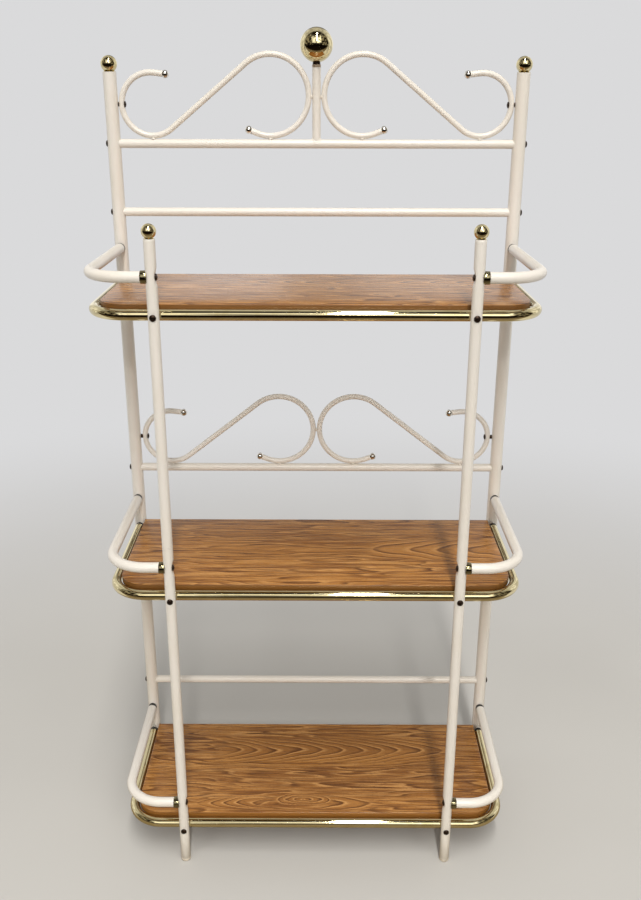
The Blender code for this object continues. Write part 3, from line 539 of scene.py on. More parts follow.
def plugged_end(bm, edges, outward, radius, flange):
    """Rounded rim of a cut tube, then the dark plug whose flange stands between it and the upright.

    The flange's dark plastic is painted shade: it stands for the shadow gap where the tube's end meets the
    upright. The plug takes slot 1.
    """
    seat = radius - RIM * 2
    edges = run(bm, edges, outward * RIM)
    squeeze(bm, edges, seat / radius, outward)
    faces = []
    for step, share in ((0, (radius - RIM) / seat), (flange - RIM, 1), (RIM, 0.95)):
        edges, made = grow(bm, edges)
        bmesh.ops.translate(bm, verts=verts_of(edges), vec=outward * step)
        squeeze(bm, edges, share, outward)
        faces += made
    for face in faces + cap(bm, edges):
        face.material_index = 1


def lathe(bm, profile, sides, place=Matrix.Identity(4)):
    """Turn a profile of radius and height round place's Z axis."""
    before = set(bm.verts)
    verts = [bm.verts.new((radius, 0, height)) for radius, height in profile]
    edges = [bm.edges.new(pair) for pair in zip(verts, verts[1:])]
    bmesh.ops.spin(bm, geom=verts + edges, cent=(0, 0, 0), axis=Z_AXIS, angle=math.tau, steps=sides,
                   use_merge=True, use_duplicate=False)
    bmesh.ops.remove_doubles(bm, verts=[v for v in bm.verts if v not in before], dist=MERGE)
    bmesh.ops.transform(bm, verts=[v for v in bm.verts if v not in before], matrix=place)


def aimed(place, direction):
    """Matrix that puts a shape at place with its +Z along direction."""
    return Matrix.Translation(place) @ direction.to_track_quat("Z", "X").to_matrix().to_4x4()


def ball_arc(radius, middle, neck, steps):
    """Profile of a ball from its top down to where it is as wide as its neck."""
    end = -math.acos(neck / radius)
    angles = [QUARTER + (end - QUARTER) * step / steps for step in range(steps + 1)]
    return [(max(radius * math.cos(a), 0), middle + radius * math.sin(a)) for a in angles]


def piece(name, bm, materials, nodes=(), angle=35, mirror=False):
    """Finish a mesh as a named piece that rides on the frame and stands for CAD nodes."""
    if mirror:
        bmesh.ops.scale(bm, verts=bm.verts, vec=(-1, 1, 1))
    bmesh.ops.recalc_face_normals(bm, faces=bm.faces)
    mesh = bpy.data.meshes.new(name)
    bm.to_mesh(mesh)
    bm.free()
    for key in materials:
        mesh.materials.append(MATERIALS[key])
    mesh.shade_smooth()
    mesh.set_sharp_from_angle(angle=math.radians(angle))
    made = bpy.data.objects.new(name, mesh)
    bpy.context.scene.collection.objects.link(made)
    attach(made, "root")
    if nodes:
        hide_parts(*nodes)
    return made


def head(bm, seat, outward, sizes):
    """Button head with a hexagon socket, its flat underside at seat."""
    radius, height = sizes.head_radius, sizes.head_height
    foot = radius * 0.97
    rim = height * 0.28
    key = radius * 0.36
    crown = QUARTER * 0.80
    outline = [(radius, rim * 0.3), (radius, rim)]
    for step in range(1, 7):
        turn = crown * step / 6
        outline.append((radius * math.cos(turn), rim + (height - rim) * math.sin(turn) / math.sin(crown)))
    before = set(bm.verts)
    loop = ring(bm, foot, 24, Matrix.Identity(4))
    cap(bm, loop)
    level, width = 0, foot
    for wide, high in outline:
        loop = run(bm, loop, Z_AXIS * (high - level))
        squeeze(bm, loop, wide / width, Z_AXIS)
        level, width = high, wide
    # The crown's rim becomes a hexagon, and the socket goes down from it
    loop, _ = grow(bm, loop)
    for vert in verts_of(loop):
        around = math.atan2(vert.co.y, vert.co.x)
        off_flat = (around + math.tau) % (math.pi / 3) - math.pi / 6
        reach = key / math.cos(off_flat)
        vert.co = Vector((reach * math.cos(around), reach * math.sin(around), height * 0.97))
    cap(bm, run(bm, loop, -Z_AXIS * height * 0.6))
    bmesh.ops.transform(bm, verts=[v for v in bm.verts if v not in before], matrix=aimed(seat, outward))


def press(verts, tool, axis, inward, radius):
    """Push vertices out of a round press tool, with a soft shoulder."""
    soft = 0.0008
    side = axis.cross(inward)
    for vert in verts:
        offset = vert.co - tool
        level = offset.dot(side)
        if abs(level) >= radius:
            continue
        depth = offset.dot(inward)
        wanted = math.sqrt(radius ** 2 - level ** 2)
        gap = depth - wanted
        shift = (gap + math.sqrt(gap ** 2 + soft ** 2)) / 2 - gap
        if shift > soft * 0.05:
            vert.co += inward * shift


class SHELF_OT_finishes(bpy.types.Operator):
    """Make the enamel, plate, laminate and plastic finishes"""
    bl_idname = "shelf.finishes"
    bl_label = "Finishes"

    def execute(self, context):
        make_materials(context.scene.shelf_colours)
        return {"FINISHED"}


class SHELF_OT_rear_uprights(bpy.types.Operator):
    """Draw the tall rear tubes and the button heads on their backs and outer sides"""
    bl_idname = "shelf.rear_uprights"
    bl_label = "Rear uprights"

    def execute(self, context):
        sizes = context.scene.shelf_sizes
        radius = sizes.rear_radius
        low, high = TUBE_BOTTOM + RIM, REAR_TOP - RIM
        levels = [low + (high - low) * step / 12 for step in range(13)]
        for side, sign in SIDES:
            bm = standing_tube((sign * REAR_X, REAR_Y, TUBE_BOTTOM), radius, sizes.tube_sides, levels)
            piece(f"rear_tube_{side}", bm, ["enamel"], [f"rear_upright_{side}"])
            bm = bmesh.new()
            for tier in TIERS:
                for height in (RAILS[tier], ARMS[tier]):
                    head(bm, Vector((sign * REAR_X, REAR_Y + radius - TOUCH, height)), Y_AXIS, sizes)
            for height in BARS.values():
                head(bm, Vector((sign * (REAR_X + radius - TOUCH), REAR_Y, height)), sign * X_AXIS, sizes)
            piece(f"frame_screws_{side}", bm, ["bronze"])
        return {"FINISHED"}


class SHELF_OT_front_uprights(bpy.types.Operator):
    """Draw the front tubes and press a dimple at each bolt and a saddle at each rail"""
    bl_idname = "shelf.front_uprights"
    bl_label = "Front uprights"

    arm_dimple: FloatProperty(name="Arm dimple depth", description="Depth of the dimple at an arm's bolt",
                              default=0.004, unit="LENGTH", precision=4)
    arm_tool: FloatProperty(name="Arm dimple radius", description="Radius of the tool that pressed it",
                            default=0.042, unit="LENGTH", precision=4)
    rail_dimple: FloatProperty(name="Rail dimple depth", description="Depth of the dimple at a rail's bolt",
                               default=0.0015, unit="LENGTH", precision=4)
    rail_tool: FloatProperty(name="Rail dimple radius", description="Radius of the tool that pressed it",
                             default=0.030, unit="LENGTH", precision=4)
    fine: FloatProperty(name="Fine step", description="Height of the faces near a dimple", default=0.0014,
                        unit="LENGTH", precision=4)
    near: FloatProperty(name="Near", description="Reach of the fine faces above and below a bolt",
                        default=0.0224, unit="LENGTH", precision=4)

    def execute(self, context):
        sizes = context.scene.shelf_sizes
        levels = self.levels()
        for side, sign in SIDES:
            bm = standing_tube((sign * FRONT_X, FRONT_Y, TUBE_BOTTOM), sizes.front_radius, sizes.tube_sides,
                               levels)
            for tier in TIERS:
                self.dimples(bm, sign, tier, sizes.front_radius)
            piece(f"front_tube_{side}", bm, ["enamel"], [f"front_upright_{side}"], angle=60)
        return {"FINISHED"}

    def levels(self):
        """Heights of the tube's loops, close together at the bolts."""
        levels = []
        level, top = TUBE_BOTTOM + RIM, FRONT_TOP - RIM
        while level < top:
            levels.append(level)
            gap = min(abs(level - place) for place in (*RAILS.values(), *ARMS.values()))
            level += self.fine if gap < self.near else max(self.fine, min(gap - self.near + self.fine, 0.060))
        return [*levels, top]

    def dimples(self, bm, sign, tier, radius):
        """Press the flanks at an arm's bolt, then the front and the rail's saddle at a rail's bolt."""
        reach = radius - self.arm_dimple + self.arm_tool
        front = radius - self.rail_dimple + self.rail_tool
        for height, x, y, axis, inward, tool in (
                (ARMS[tier], sign * (FRONT_X - reach), FRONT_Y, Y_AXIS, sign * X_AXIS, self.arm_tool),
                (RAILS[tier], sign * FRONT_X, FRONT_Y - front, X_AXIS, Y_AXIS, self.rail_tool),
                (RAILS[tier], sign * FRONT_X, RAIL_Y, X_AXIS, -Y_AXIS, RAIL_RADIUS + TOUCH)):
            close = [v for v in bm.verts if abs(v.co.z - height) < self.near + self.fine]
            press(close, Vector((x, y, height)), axis, inward, tool)


class SHELF_OT_crossbars(bpy.types.Operator):
    """Draw the level bars and cope their ends to the rear uprights"""
    bl_idname = "shelf.crossbars"
    bl_label = "Crossbars"

    def execute(self, context):
        sizes = context.scene.shelf_sizes
        cope = sizes.rear_radius + TOUCH
        half = REAR_X - cope
        end = 0.012
        for tier, height in BARS.items():
            bm = bmesh.new()
            first = ring(bm, BAR_RADIUS, sizes.tube_sides, aimed(Vector((-half, REAR_Y, height)), X_AXIS))
            verts = verts_of(first)
            edges = run(bm, first, X_AXIS * end)
            edges = run(bm, edges, X_AXIS * (half - end) * 2, 16)
            edges = run(bm, edges, X_AXIS * end)
            for vert in verts + verts_of(edges):
                reach = math.sqrt(cope ** 2 - (vert.co.y - REAR_Y) ** 2)
                vert.co.x = math.copysign(REAR_X - reach, vert.co.x)
            cap(bm, first)
            cap(bm, edges)
            piece(f"bar_{tier}", bm, ["enamel"], [f"crossbar_{tier}"])
        return {"FINISHED"}


class SHELF_OT_rails(bpy.types.Operator):
    """Bend the brass U rails, with the tabs and screws that hold the boards"""
    bl_idname = "shelf.rails"
    bl_label = "Rails"

    tab_length: FloatProperty(name="Tab length", description="Length of a board tab inward from the tube",
                              default=0.026, unit="LENGTH", precision=4)
    tab_width: FloatProperty(name="Tab width", description="Width of a board tab", default=0.022,
                             unit="LENGTH", precision=4)
    tab_thickness: FloatProperty(name="Tab thickness", description="Thickness of a board tab",
                                 default=0.0025, unit="LENGTH", precision=4)
    tab_corner: FloatProperty(name="Tab corner", description="Radius of a board tab's corners", default=0.004,
                              unit="LENGTH", precision=4)
    tab_spread: FloatProperty(name="Tab spread", description="Distance of the front tabs from the middle",
                              default=0.250, unit="LENGTH", precision=4)
    tab_back: FloatProperty(name="Tab setback", description="Distance of the side tabs from the rear ends",
                            default=0.080, unit="LENGTH", precision=4)

    def execute(self, context):
        sizes = context.scene.shelf_sizes
        bend = sizes.rail_bend
        end = TUBE_END_Y - sizes.flange - RIM
        straight = end - (RAIL_Y + bend)
        screw = [(0, 0), (0.0036, 0), (0.0036, 0.0006), (0.0030, 0.0016), (0.0017, 0.0022), (0, 0.0024)]
        for tier, height in RAILS.items():
            bm = bmesh.new()
            first = ring(bm, RAIL_RADIUS, sizes.tube_sides, aimed(Vector((-REAR_X, end, height)), -Y_AXIS))
            edges = run(bm, first, -Y_AXIS * straight, 6)
            edges = sweep(bm, edges, (-REAR_X + bend, RAIL_Y + bend, height), Z_AXIS, QUARTER, 20)
            edges = run(bm, edges, X_AXIS * (REAR_X - bend) * 2, 16)
            edges = sweep(bm, edges, (REAR_X - bend, RAIL_Y + bend, height), Z_AXIS, QUARTER, 20)
            edges = run(bm, edges, Y_AXIS * straight, 6)
            # Both ends get the dark plug flange: painted shade for the shadow gap at the rear uprights
            for loop in (first, edges):
                plugged_end(bm, loop, Y_AXIS, RAIL_RADIUS, sizes.flange)
            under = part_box(f"shelf_board_{tier}")[0].z - TOUCH
            self.tabs(bm, tier, under)
            piece(f"brass_rail_{tier}", bm, ["brass", "plug"], [f"shelf_rail_{tier}"])
            bm = bmesh.new()
            for root, inward in self.spots(tier):
                seat = root + inward * (RAIL_RADIUS + self.tab_length * 0.6)
                seat.z = under - self.tab_thickness
                lathe(bm, screw, 16, aimed(seat, -Z_AXIS))
            piece(f"board_screws_{tier}", bm, ["nickel"])
        return {"FINISHED"}

    def spots(self, tier):
        """Root on the rail's axis and inward direction of each tab."""
        for _, sign in SIDES:
            yield Vector((sign * self.tab_spread, RAIL_Y, RAILS[tier])), Y_AXIS
            yield Vector((sign * REAR_X, TUBE_END_Y - self.tab_back, RAILS[tier])), -sign * X_AXIS

    def tabs(self, bm, tier, under):
        """Rounded plates from the rail's inner side to below the board."""
        start = 0.008
        length = RAIL_RADIUS + self.tab_length - start
        for root, inward in self.spots(tier):
            middle = root + inward * (length / 2 + start)
            middle.z = under - self.tab_thickness / 2
            size = [length if abs(inward[axis]) > 0.5 else self.tab_width for axis in (0, 1)]
            place = Matrix.Translation(middle) @ Matrix.Diagonal((*size, self.tab_thickness, 1))
            made = bmesh.ops.create_cube(bm, size=1, matrix=place)
            upright = [e for e in {e for v in made["verts"] for e in v.link_edges}
                       if abs(e.verts[0].co.z - e.verts[1].co.z) > self.tab_thickness / 2]
            bmesh.ops.bevel(bm, geom=upright, offset=self.tab_corner, affect="EDGES", segments=4, profile=0.5,
                            material=-1)


class SHELF_OT_boards(bpy.types.Operator):
    """Round the boards' front corners and edges and lay the laminate on them"""
    bl_idname = "shelf.boards"
    bl_label = "Boards"

    edge_round: FloatProperty(name="Edge round", description="Radius of the boards' edges", default=0.0015,
                              unit="LENGTH", precision=4)
    corner_inset: FloatProperty(name="Corner inset", description="Rail's inner corner radius less a board's",
                                default=0.0067, unit="LENGTH", precision=4)

    def execute(self, context):
        corner = context.scene.shelf_sizes.rail_bend - RAIL_RADIUS - self.corner_inset
        for tier in TIERS:
            low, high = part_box(f"shelf_board_{tier}")
            size = high - low
            bm = bmesh.new()
            bmesh.ops.create_cube(bm, size=1, matrix=Matrix.Translation((low + high) / 2)
                                  @ Matrix.Diagonal((*size, 1)))
            fronts = [e for e in bm.edges if abs(e.verts[0].co.z - e.verts[1].co.z) > size.z / 2
                      and e.verts[0].co.y < low.y + TOUCH]
            bmesh.ops.bevel(bm, geom=fronts, offset=corner, affect="EDGES", segments=14, profile=0.5,
                            material=-1)
            rims = [e for e in bm.edges if abs(e.verts[0].co.z - e.verts[1].co.z) < TOUCH
                    and len({round(abs(f.normal.z)) for f in e.link_faces}) == 2]
            bmesh.ops.bevel(bm, geom=rims, offset=self.edge_round, affect="EDGES", segments=4, profile=0.5,
                            material=-1)
            bm.normal_update()
            # Laminate on top, edge band round the rim and bare board below
            for face in bm.faces:
                face.material_index = 2 if face.normal.z < -0.9 else int(face.normal.z < 0.75)
            materials = [f"laminate_{tier}", f"edge_{tier}", "core"]
            piece(f"laminated_board_{tier}", bm, materials, [f"shelf_board_{tier}"],
                  angle=40)
        return {"FINISHED"}


class SHELF_OT_arms(bpy.types.Operator):
    """Bend the gallery arms and saddle their brass ferrules"""
    bl_idname = "shelf.arms"
    bl_label = "Gallery arms"

    lip: FloatProperty(name="Ferrule lip", description="Rounding of a ferrule's two rims", default=0.0007,
                       unit="LENGTH", precision=4)
    socket: FloatProperty(name="Ferrule socket", description="Depth that an arm goes into its ferrule",
                          default=0.004, unit="LENGTH", precision=4)

    def execute(self, context):
        sizes = context.scene.shelf_sizes
        bend = sizes.arm_bend
        end = TUBE_END_Y - sizes.flange - RIM
        for tier, height in ARMS.items():
            front_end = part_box(f"gallery_arm_{tier}_right")[0].x
            for side, sign in SIDES:
                bm = bmesh.new()
                first = ring(bm, ARM_RADIUS, sizes.tube_sides, aimed(Vector((REAR_X, end, height)), -Y_AXIS))
                edges = run(bm, first, -Y_AXIS * (end - FRONT_Y - bend), 6)
                edges = sweep(bm, edges, (REAR_X - bend, FRONT_Y + bend, height), Z_AXIS, -QUARTER, 22)
                edges = run(bm, edges, -X_AXIS * (REAR_X - bend - front_end), 3)
                # The rear end gets the dark plug flange: painted shade for the shadow gap at the rear upright
                plugged_end(bm, first, Y_AXIS, ARM_RADIUS, sizes.flange)
                cap(bm, edges)
                piece(f"arm_tube_{tier}_{side}", bm, ["enamel", "plug"],
                      [f"gallery_arm_{tier}_{side}"], mirror=sign < 0)
                self.ferrule(tier, side, sign, height, sizes)
        return {"FINISHED"}

    def ferrule(self, tier, side, sign, height, sizes):
        """Turned brass cup whose root is coped to the front upright."""
        low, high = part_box(f"arm_ferrule_{tier}_right")
        radius, length = (high.z - low.z) / 2, high.x - low.x
        lip, bore, inner = self.lip, 0.0035, ARM_RADIUS + TOUCH
        profile = [(bore, 0), (radius - lip, 0), (radius - lip * 0.3, lip * 0.3), (radius, lip),
                   (radius, length - lip), (radius - lip * 0.3, length - lip * 0.3), (radius - lip, length),
                   (inner, length), (inner, length - self.socket), (bore, length - self.socket), (bore, 0)]
        bm = bmesh.new()
        lathe(bm, profile, 48, aimed(Vector((low.x, FRONT_Y, height)), X_AXIS))
        saddle = sizes.front_radius + TOUCH
        for vert in bm.verts:
            inside = saddle ** 2 - (vert.co.y - FRONT_Y) ** 2
            if vert.co.x < low.x + lip * 1.5 and inside > 0:
                vert.co.x = max(vert.co.x, FRONT_X + math.sqrt(inside))
        piece(f"ferrule_{tier}_{side}", bm, ["ferrule"], [f"arm_ferrule_{tier}_{side}"],
              mirror=sign < 0)


class SHELF_OT_bolts(bpy.types.Operator):
    """Set the button heads of the front uprights in their dimples"""
    bl_idname = "shelf.bolts"
    bl_label = "Front bolts"

    shank_radius: FloatProperty(name="Shank radius", description="Radius of a bolt's shank", default=0.003,
                                unit="LENGTH", precision=4)

    def execute(self, context):
        sizes = context.scene.shelf_sizes
        for tier in TIERS:
            for side, sign in SIDES:
                low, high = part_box(f"rail_bolt_{tier}_{side}")
                seat = Vector((sign * FRONT_X, low.y + sizes.head_height, RAILS[tier]))
                self.bolt("rail", tier, side, seat, Y_AXIS, high.y - seat.y, sizes, False)
                low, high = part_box(f"arm_bolt_{tier}_right")
                seat = Vector((low.x + sizes.head_height, FRONT_Y, ARMS[tier]))
                self.bolt("arm", tier, side, seat, X_AXIS, high.x - seat.x, sizes, sign < 0)
        return {"FINISHED"}

    def bolt(self, kind, tier, side, seat, inward, length, sizes, mirror):
        """Head with its seat on the tube and shank that goes inward."""
        bm = bmesh.new()
        head(bm, seat, -inward, sizes)
        point = 0.0006
        lathe(bm, [(0, 0.0002), (self.shank_radius, 0.0002), (self.shank_radius, length - point),
                   (self.shank_radius - point, length), (0, length)], 16, aimed(seat, inward))
        piece(f"{kind}_bolt_head_{tier}_{side}", bm, ["bronze"], [f"{kind}_bolt_{tier}_{side}"],
              mirror=mirror)


class SHELF_OT_scrolls(bpy.types.Operator):
    """Bend the S scrolls, with their balls, washered screws and tack welds"""
    bl_idname = "shelf.scrolls"
    bl_label = "Scrolls"

    hook_angle: FloatProperty(name="Hook angle", description="Where the small loop starts",
                              default=math.radians(83), subtype="ANGLE")
    curl_angle: FloatProperty(name="Curl angle", description="Where the large loop ends",
                              default=math.radians(-111), subtype="ANGLE")
    ball_radius: FloatProperty(name="Tip ball radius", description="Radius of the balls on the rods' ends",
                               default=0.0085, unit="LENGTH", precision=4)
    grip: FloatProperty(name="Ball grip", description="How far a tip ball is pushed on its rod",
                        default=0.004, unit="LENGTH", precision=4)
    top_washer: FloatProperty(name="Top washer", description="Thickness of a top scroll's washer",
                              default=0.0010, unit="LENGTH", precision=4)
    middle_washer: FloatProperty(name="Middle washer", description="Thickness of a middle scroll's washer",
                                 default=0.0042, unit="LENGTH", precision=4)

    def execute(self, context):
        sizes = context.scene.shelf_sizes
        for row in SCROLL_ROWS:
            washer = self.top_washer if row == "top" else self.middle_washer
            low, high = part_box(f"scroll_{row}_left")
            outer = REAR_X - sizes.rear_radius - TOUCH * 2 - washer
            small = Vector((sizes.small_loop - outer, REAR_Y, low.z + sizes.small_loop))
            large = Vector((high.x - sizes.large_loop, REAR_Y, low.z + sizes.large_loop))
            for side, sign in SIDES:
                for end, tip, outward in self.rod(row, side, sign, small, large, sizes):
                    self.ball(row, side, sign, end, tip, outward, sizes)
                self.screw(row, side, sign, outer, washer, small.z, sizes)
            self.tacks(row, small, large, high.x, low.z)
        return {"FINISHED"}

    def rod(self, row, side, sign, small, large, sizes):
        """Rod of a left scroll, turned over for the right one. Gives back its two tips."""
        small_radius = sizes.small_loop - sizes.rod_radius
        large_radius = sizes.large_loop - sizes.rod_radius
        apart = large - small
        slope = math.atan2(apart.z, apart.x)
        slope += math.asin(min((small_radius + large_radius) / apart.length, 1))

        def spoke(angle):
            return Vector((math.cos(angle), 0, math.sin(angle)))

        def onward(angle):
            return Vector((-math.sin(angle), 0, math.cos(angle)))

        start = small + spoke(self.hook_angle) * small_radius
        hook_tip = start - onward(self.hook_angle) * sizes.hook_tail
        leave = slope - QUARTER + math.tau
        depart = small + spoke(leave) * small_radius
        arrive = large + spoke(slope + QUARTER) * large_radius
        finish = large + spoke(self.curl_angle) * large_radius
        curl_tip = finish - onward(self.curl_angle) * sizes.curl_tail
        bm = bmesh.new()
        first = ring(bm, sizes.rod_radius, 24, aimed(hook_tip, start - hook_tip))
        edges = run(bm, first, start - hook_tip, 2)
        edges = sweep(bm, edges, small, -Y_AXIS, leave - self.hook_angle, 56)
        edges = run(bm, edges, arrive - depart, 4)
        edges = sweep(bm, edges, large, -Y_AXIS, self.curl_angle - slope - QUARTER, 56)
        edges = run(bm, edges, curl_tip - finish, 2)
        cap(bm, first)
        cap(bm, edges)
        piece(f"scroll_rod_{row}_{side}", bm, ["enamel"], [f"scroll_{row}_{side}"],
              mirror=sign > 0)
        return (("hook", hook_tip, (hook_tip - start).normalized()),
                ("curl", curl_tip, (curl_tip - finish).normalized()))

    def ball(self, row, side, sign, end, tip, outward, sizes):
        """Bored ball pushed on the rod's end."""
        radius = self.ball_radius
        bore = sizes.rod_radius + TOUCH
        middle = tip + outward * (radius - self.grip) / 2
        depth = (tip - middle).dot(outward) + TOUCH
        bm = bmesh.new()
        lathe(bm, [*ball_arc(radius, 0, bore, 20), (bore, depth), (0, depth)], 32, aimed(middle, outward))
        piece(f"tip_ball_{row}_{side}_{end}", bm, ["nickel"], [f"scroll_ball_{row}_{side}_{end}"],
              mirror=sign > 0)

    def screw(self, row, side, sign, outer, washer, height, sizes):
        """Head on the rod's inner side and the washer between rod and upright.

        The washer's dark finish is partly its own and partly painted shade, for the crevice where rod and
        upright meet.
        """
        bm = bmesh.new()
        head(bm, Vector((sizes.rod_radius * 2 - outer - TOUCH * 3, REAR_Y, height)), X_AXIS, sizes)
        # The washer's dark bronze is partly painted shade, for the shaded crevice between rod and upright
        thick = washer + 0.0015
        wide, rim = 0.0048, 0.0003
        lathe(bm, [(0, 0), (0.0044, 0), (wide, rim), (wide, thick - rim), (0.0044, thick), (0, thick)], 24,
              aimed(Vector((-(outer + washer), REAR_Y, height)), X_AXIS))
        piece(f"scroll_screw_{row}_{side}", bm, ["bronze"], mirror=sign > 0)

    def tacks(self, row, small, large, contact, seat):
        """Small enamelled weld beads where the rods touch the bar, the post or each other."""
        flat, tall = (0.0044, 0.0042, 0.0026), (0.0018, 0.0036, 0.0046)
        spots = []
        for sign in (-1, 1):
            spots += [(sign * abs(small.x), seat, flat), (sign * abs(large.x), seat, flat)]
            if row == "top":
                spots.append((sign * abs(contact), large.z - 0.003, tall))
        if row != "top":
            spots.append((0, large.z, tall))
        bm = bmesh.new()
        for x, z, radii in spots:
            place = Matrix.Translation((x, REAR_Y - 0.0030, z)) @ Matrix.Diagonal((*radii, 1))
            bmesh.ops.create_uvsphere(bm, u_segments=16, v_segments=10, radius=1, matrix=place)
        piece(f"tack_welds_{row}", bm, ["enamel"])


class SHELF_OT_finials(bpy.types.Operator):
    """Turn the brass balls of the four uprights"""
    bl_idname = "shelf.finials"
    bl_label = "Finials"

    spigot: FloatProperty(name="Spigot", description="Length of a finial's spigot in the tube", default=0.014,
                          unit="LENGTH", precision=4)

    def execute(self, context):
        sizes = context.scene.shelf_sizes
        for row, top, tube in (("front", FRONT_TOP, sizes.front_radius),
                               ("rear", REAR_TOP, sizes.rear_radius)):
            spot = centre(f"finial_{row}_right")
            for side, sign in SIDES:
                low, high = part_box(f"finial_{row}_{side}")
                radius = (high.x - low.x) / 2
                flange, neck = tube - 0.0006, tube * 0.70
                bore = tube - sizes.wall
                foot = top + TOUCH
                base = foot + 0.0008
                profile = ball_arc(radius, high.z - radius, neck, 28)
                profile += [(neck, base), (flange - 0.0004, base), (flange, base - 0.0003),
                            (flange, foot + 0.0002), (flange - 0.0003, foot), (bore - TOUCH, foot),
                            (bore - TOUCH, top - self.spigot + 0.001), (bore - 0.0012, top - self.spigot),
                            (0, top - self.spigot)]
                bm = bmesh.new()
                lathe(bm, profile, 48, Matrix.Translation((sign * spot.x, spot.y, 0)))
                piece(f"ball_finial_{row}_{side}", bm, ["brass"], [f"finial_{row}_{side}"])
        return {"FINISHED"}


class SHELF_OT_crest(bpy.types.Operator):
    """Weld the centre post on the crest bar and set the large ball on it"""
    bl_idname = "shelf.crest"
    bl_label = "Crest"

    post_radius: FloatProperty(name="Post radius", description="Outer radius of the centre post",
                               default=0.009, unit="LENGTH", precision=4)
    bead: FloatProperty(name="Weld bead", description="Radius of the weld round the post", default=0.0013,
                        unit="LENGTH", precision=4)
    # The neck is drawn in the dark bolt finish as painted shade: it stands for the shade under the large ball
    neck: FloatProperty(name="Ball neck", description="Radius of the dark neck under the large ball",
                        default=0.0082, unit="LENGTH", precision=4)
    # The collar is a plain brown band round the post
    collar: FloatProperty(name="Collar radius", description="Radius of the browned collar on the post",
                          default=0.0093, unit="LENGTH", precision=4)
    collar_height: FloatProperty(name="Collar height", description="Height of the browned collar",
                                 default=0.0055, unit="LENGTH", precision=4)

    def execute(self, context):
        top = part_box("crest_post")[1].z
        self.post(top)
        self.weld()
        self.ball(top)
        return {"FINISHED"}

    def post(self, top):
        """Post whose foot is coped to the crest bar."""
        bar, cope = BARS["crest"], BAR_RADIUS + TOUCH
        bm = bmesh.new()
        first = ring(bm, self.post_radius, 36, Matrix.Translation((0, REAR_Y, bar + cope)))
        lower = verts_of(first)
        edges = run(bm, first, Z_AXIS * (top - RIM - bar - cope), 4)
        for vert in lower:
            vert.co.z = bar + math.sqrt(cope ** 2 - (vert.co.y - REAR_Y) ** 2)
        cap(bm, first)
        rounded_end(bm, edges, self.post_radius)
        piece("post_tube", bm, ["enamel"], ["crest_post"])

    def weld(self):
        """Bead that follows the joint of post and bar."""
        bm = bmesh.new()
        loop = ring(bm, self.bead, 10, aimed(Vector((self.post_radius + self.bead * 0.5, 0, 0)), Y_AXIS))
        bmesh.ops.spin(bm, geom=verts_of(loop) + loop, cent=(0, 0, 0), axis=Z_AXIS, angle=math.tau, steps=40,
                       use_merge=True, use_duplicate=False)
        bmesh.ops.remove_doubles(bm, verts=bm.verts, dist=MERGE)
        for vert in bm.verts:
            level = math.sqrt(max((BAR_RADIUS + self.bead * 0.6) ** 2 - vert.co.y ** 2, 0))
            vert.co += Vector((0, REAR_Y, BARS["crest"] + level))
        piece("post_weld", bm, ["enamel"])

    def ball(self, top):
        """Large ball with its stem in the post; a dark neck, painted shade under the ball; a brown collar."""
        low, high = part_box("crest_ball")
        radius = (high.x - low.x) / 2
        middle = high.z - radius
        neck_top = middle - math.sqrt(radius ** 2 - self.neck ** 2)
        collar_low = top + TOUCH
        collar_high = collar_low + self.collar_height
        stem, sleeve, rim = 0.0070, 0.0071, 0.0005
        profile = ball_arc(radius, middle, self.neck - TOUCH, 44)
        profile += [(stem, neck_top), (stem, top - 0.013), (stem - 0.0008, top - 0.014), (0, top - 0.014)]
        place = Matrix.Translation((0, REAR_Y, 0))
        bm = bmesh.new()
        lathe(bm, profile, 72, place)
        piece("large_ball", bm, ["brass"], ["crest_ball"])
        # The neck takes the dark bolt finish as painted shade under the ball; the collar is a plain brown
        # band
        for name, material, outer, low, high in (
                ("ball_neck_painted_shade", "bronze", self.neck, collar_high, neck_top),
                ("ball_collar", "collar", self.collar, collar_low, collar_high)):
            bm = bmesh.new()
            lathe(bm, [(sleeve, high), (outer - rim, high), (outer, high - rim), (outer, low + rim),
                       (outer - rim, low), (sleeve, low), (sleeve, high)], 36, place)
            piece(name, bm, [material])


class SHELF_OT_feet(bpy.types.Operator):
    """Turn the rounded caps under the four uprights"""
    bl_idname = "shelf.feet"
    bl_label = "Foot caps"

    height: FloatProperty(name="Cap height", description="Height of a cap under its tube", default=0.007,
                          unit="LENGTH", precision=4)
    bend: FloatProperty(name="Cap round", description="Rounding of a cap's lower edge", default=0.004,
                        unit="LENGTH", precision=4)
    plug: FloatProperty(name="Cap plug", description="Length of a cap's plug in the tube", default=0.014,
                        unit="LENGTH", precision=4)

    def execute(self, context):
        sizes = context.scene.shelf_sizes
        height, bend, top = self.height, self.bend, self.height + self.plug
        for row, tube in (("front", sizes.front_radius), ("rear", sizes.rear_radius)):
            plug = tube - sizes.wall - TOUCH
            profile = [(0, top), (plug - 0.001, top), (plug, top - 0.001), (plug, height),
                       (tube - 0.0003, height), (tube, height - 0.0003)]
            for step in range(9):
                turn = QUARTER * step / 8
                profile.append((tube - bend + bend * math.cos(turn), bend - bend * math.sin(turn)))
            # A shallow dish is left in the middle of the sole
            profile += [(tube * 0.3, 0), (tube * 0.24, 0.0006), (0, 0.0006)]
            spot = centre(f"foot_cap_{row}_right")
            for side, sign in SIDES:
                bm = bmesh.new()
                lathe(bm, profile, 48, Matrix.Translation((sign * spot.x, spot.y, 0)))
                piece(f"cap_{row}_{side}", bm, ["caps"], [f"foot_cap_{row}_{side}"])
        return {"FINISHED"}


# ---- stage

def rays(tree):
    """Whether a ray is the camera's own, and whether a mirror or glass sent it on."""
    path = add(tree, "LightPath").outputs
    sent = [path["Is Glossy Ray"], path["Is Transmission Ray"]]
    return path["Is Camera Ray"], add(tree, "Math", sent, operation="MAXIMUM")


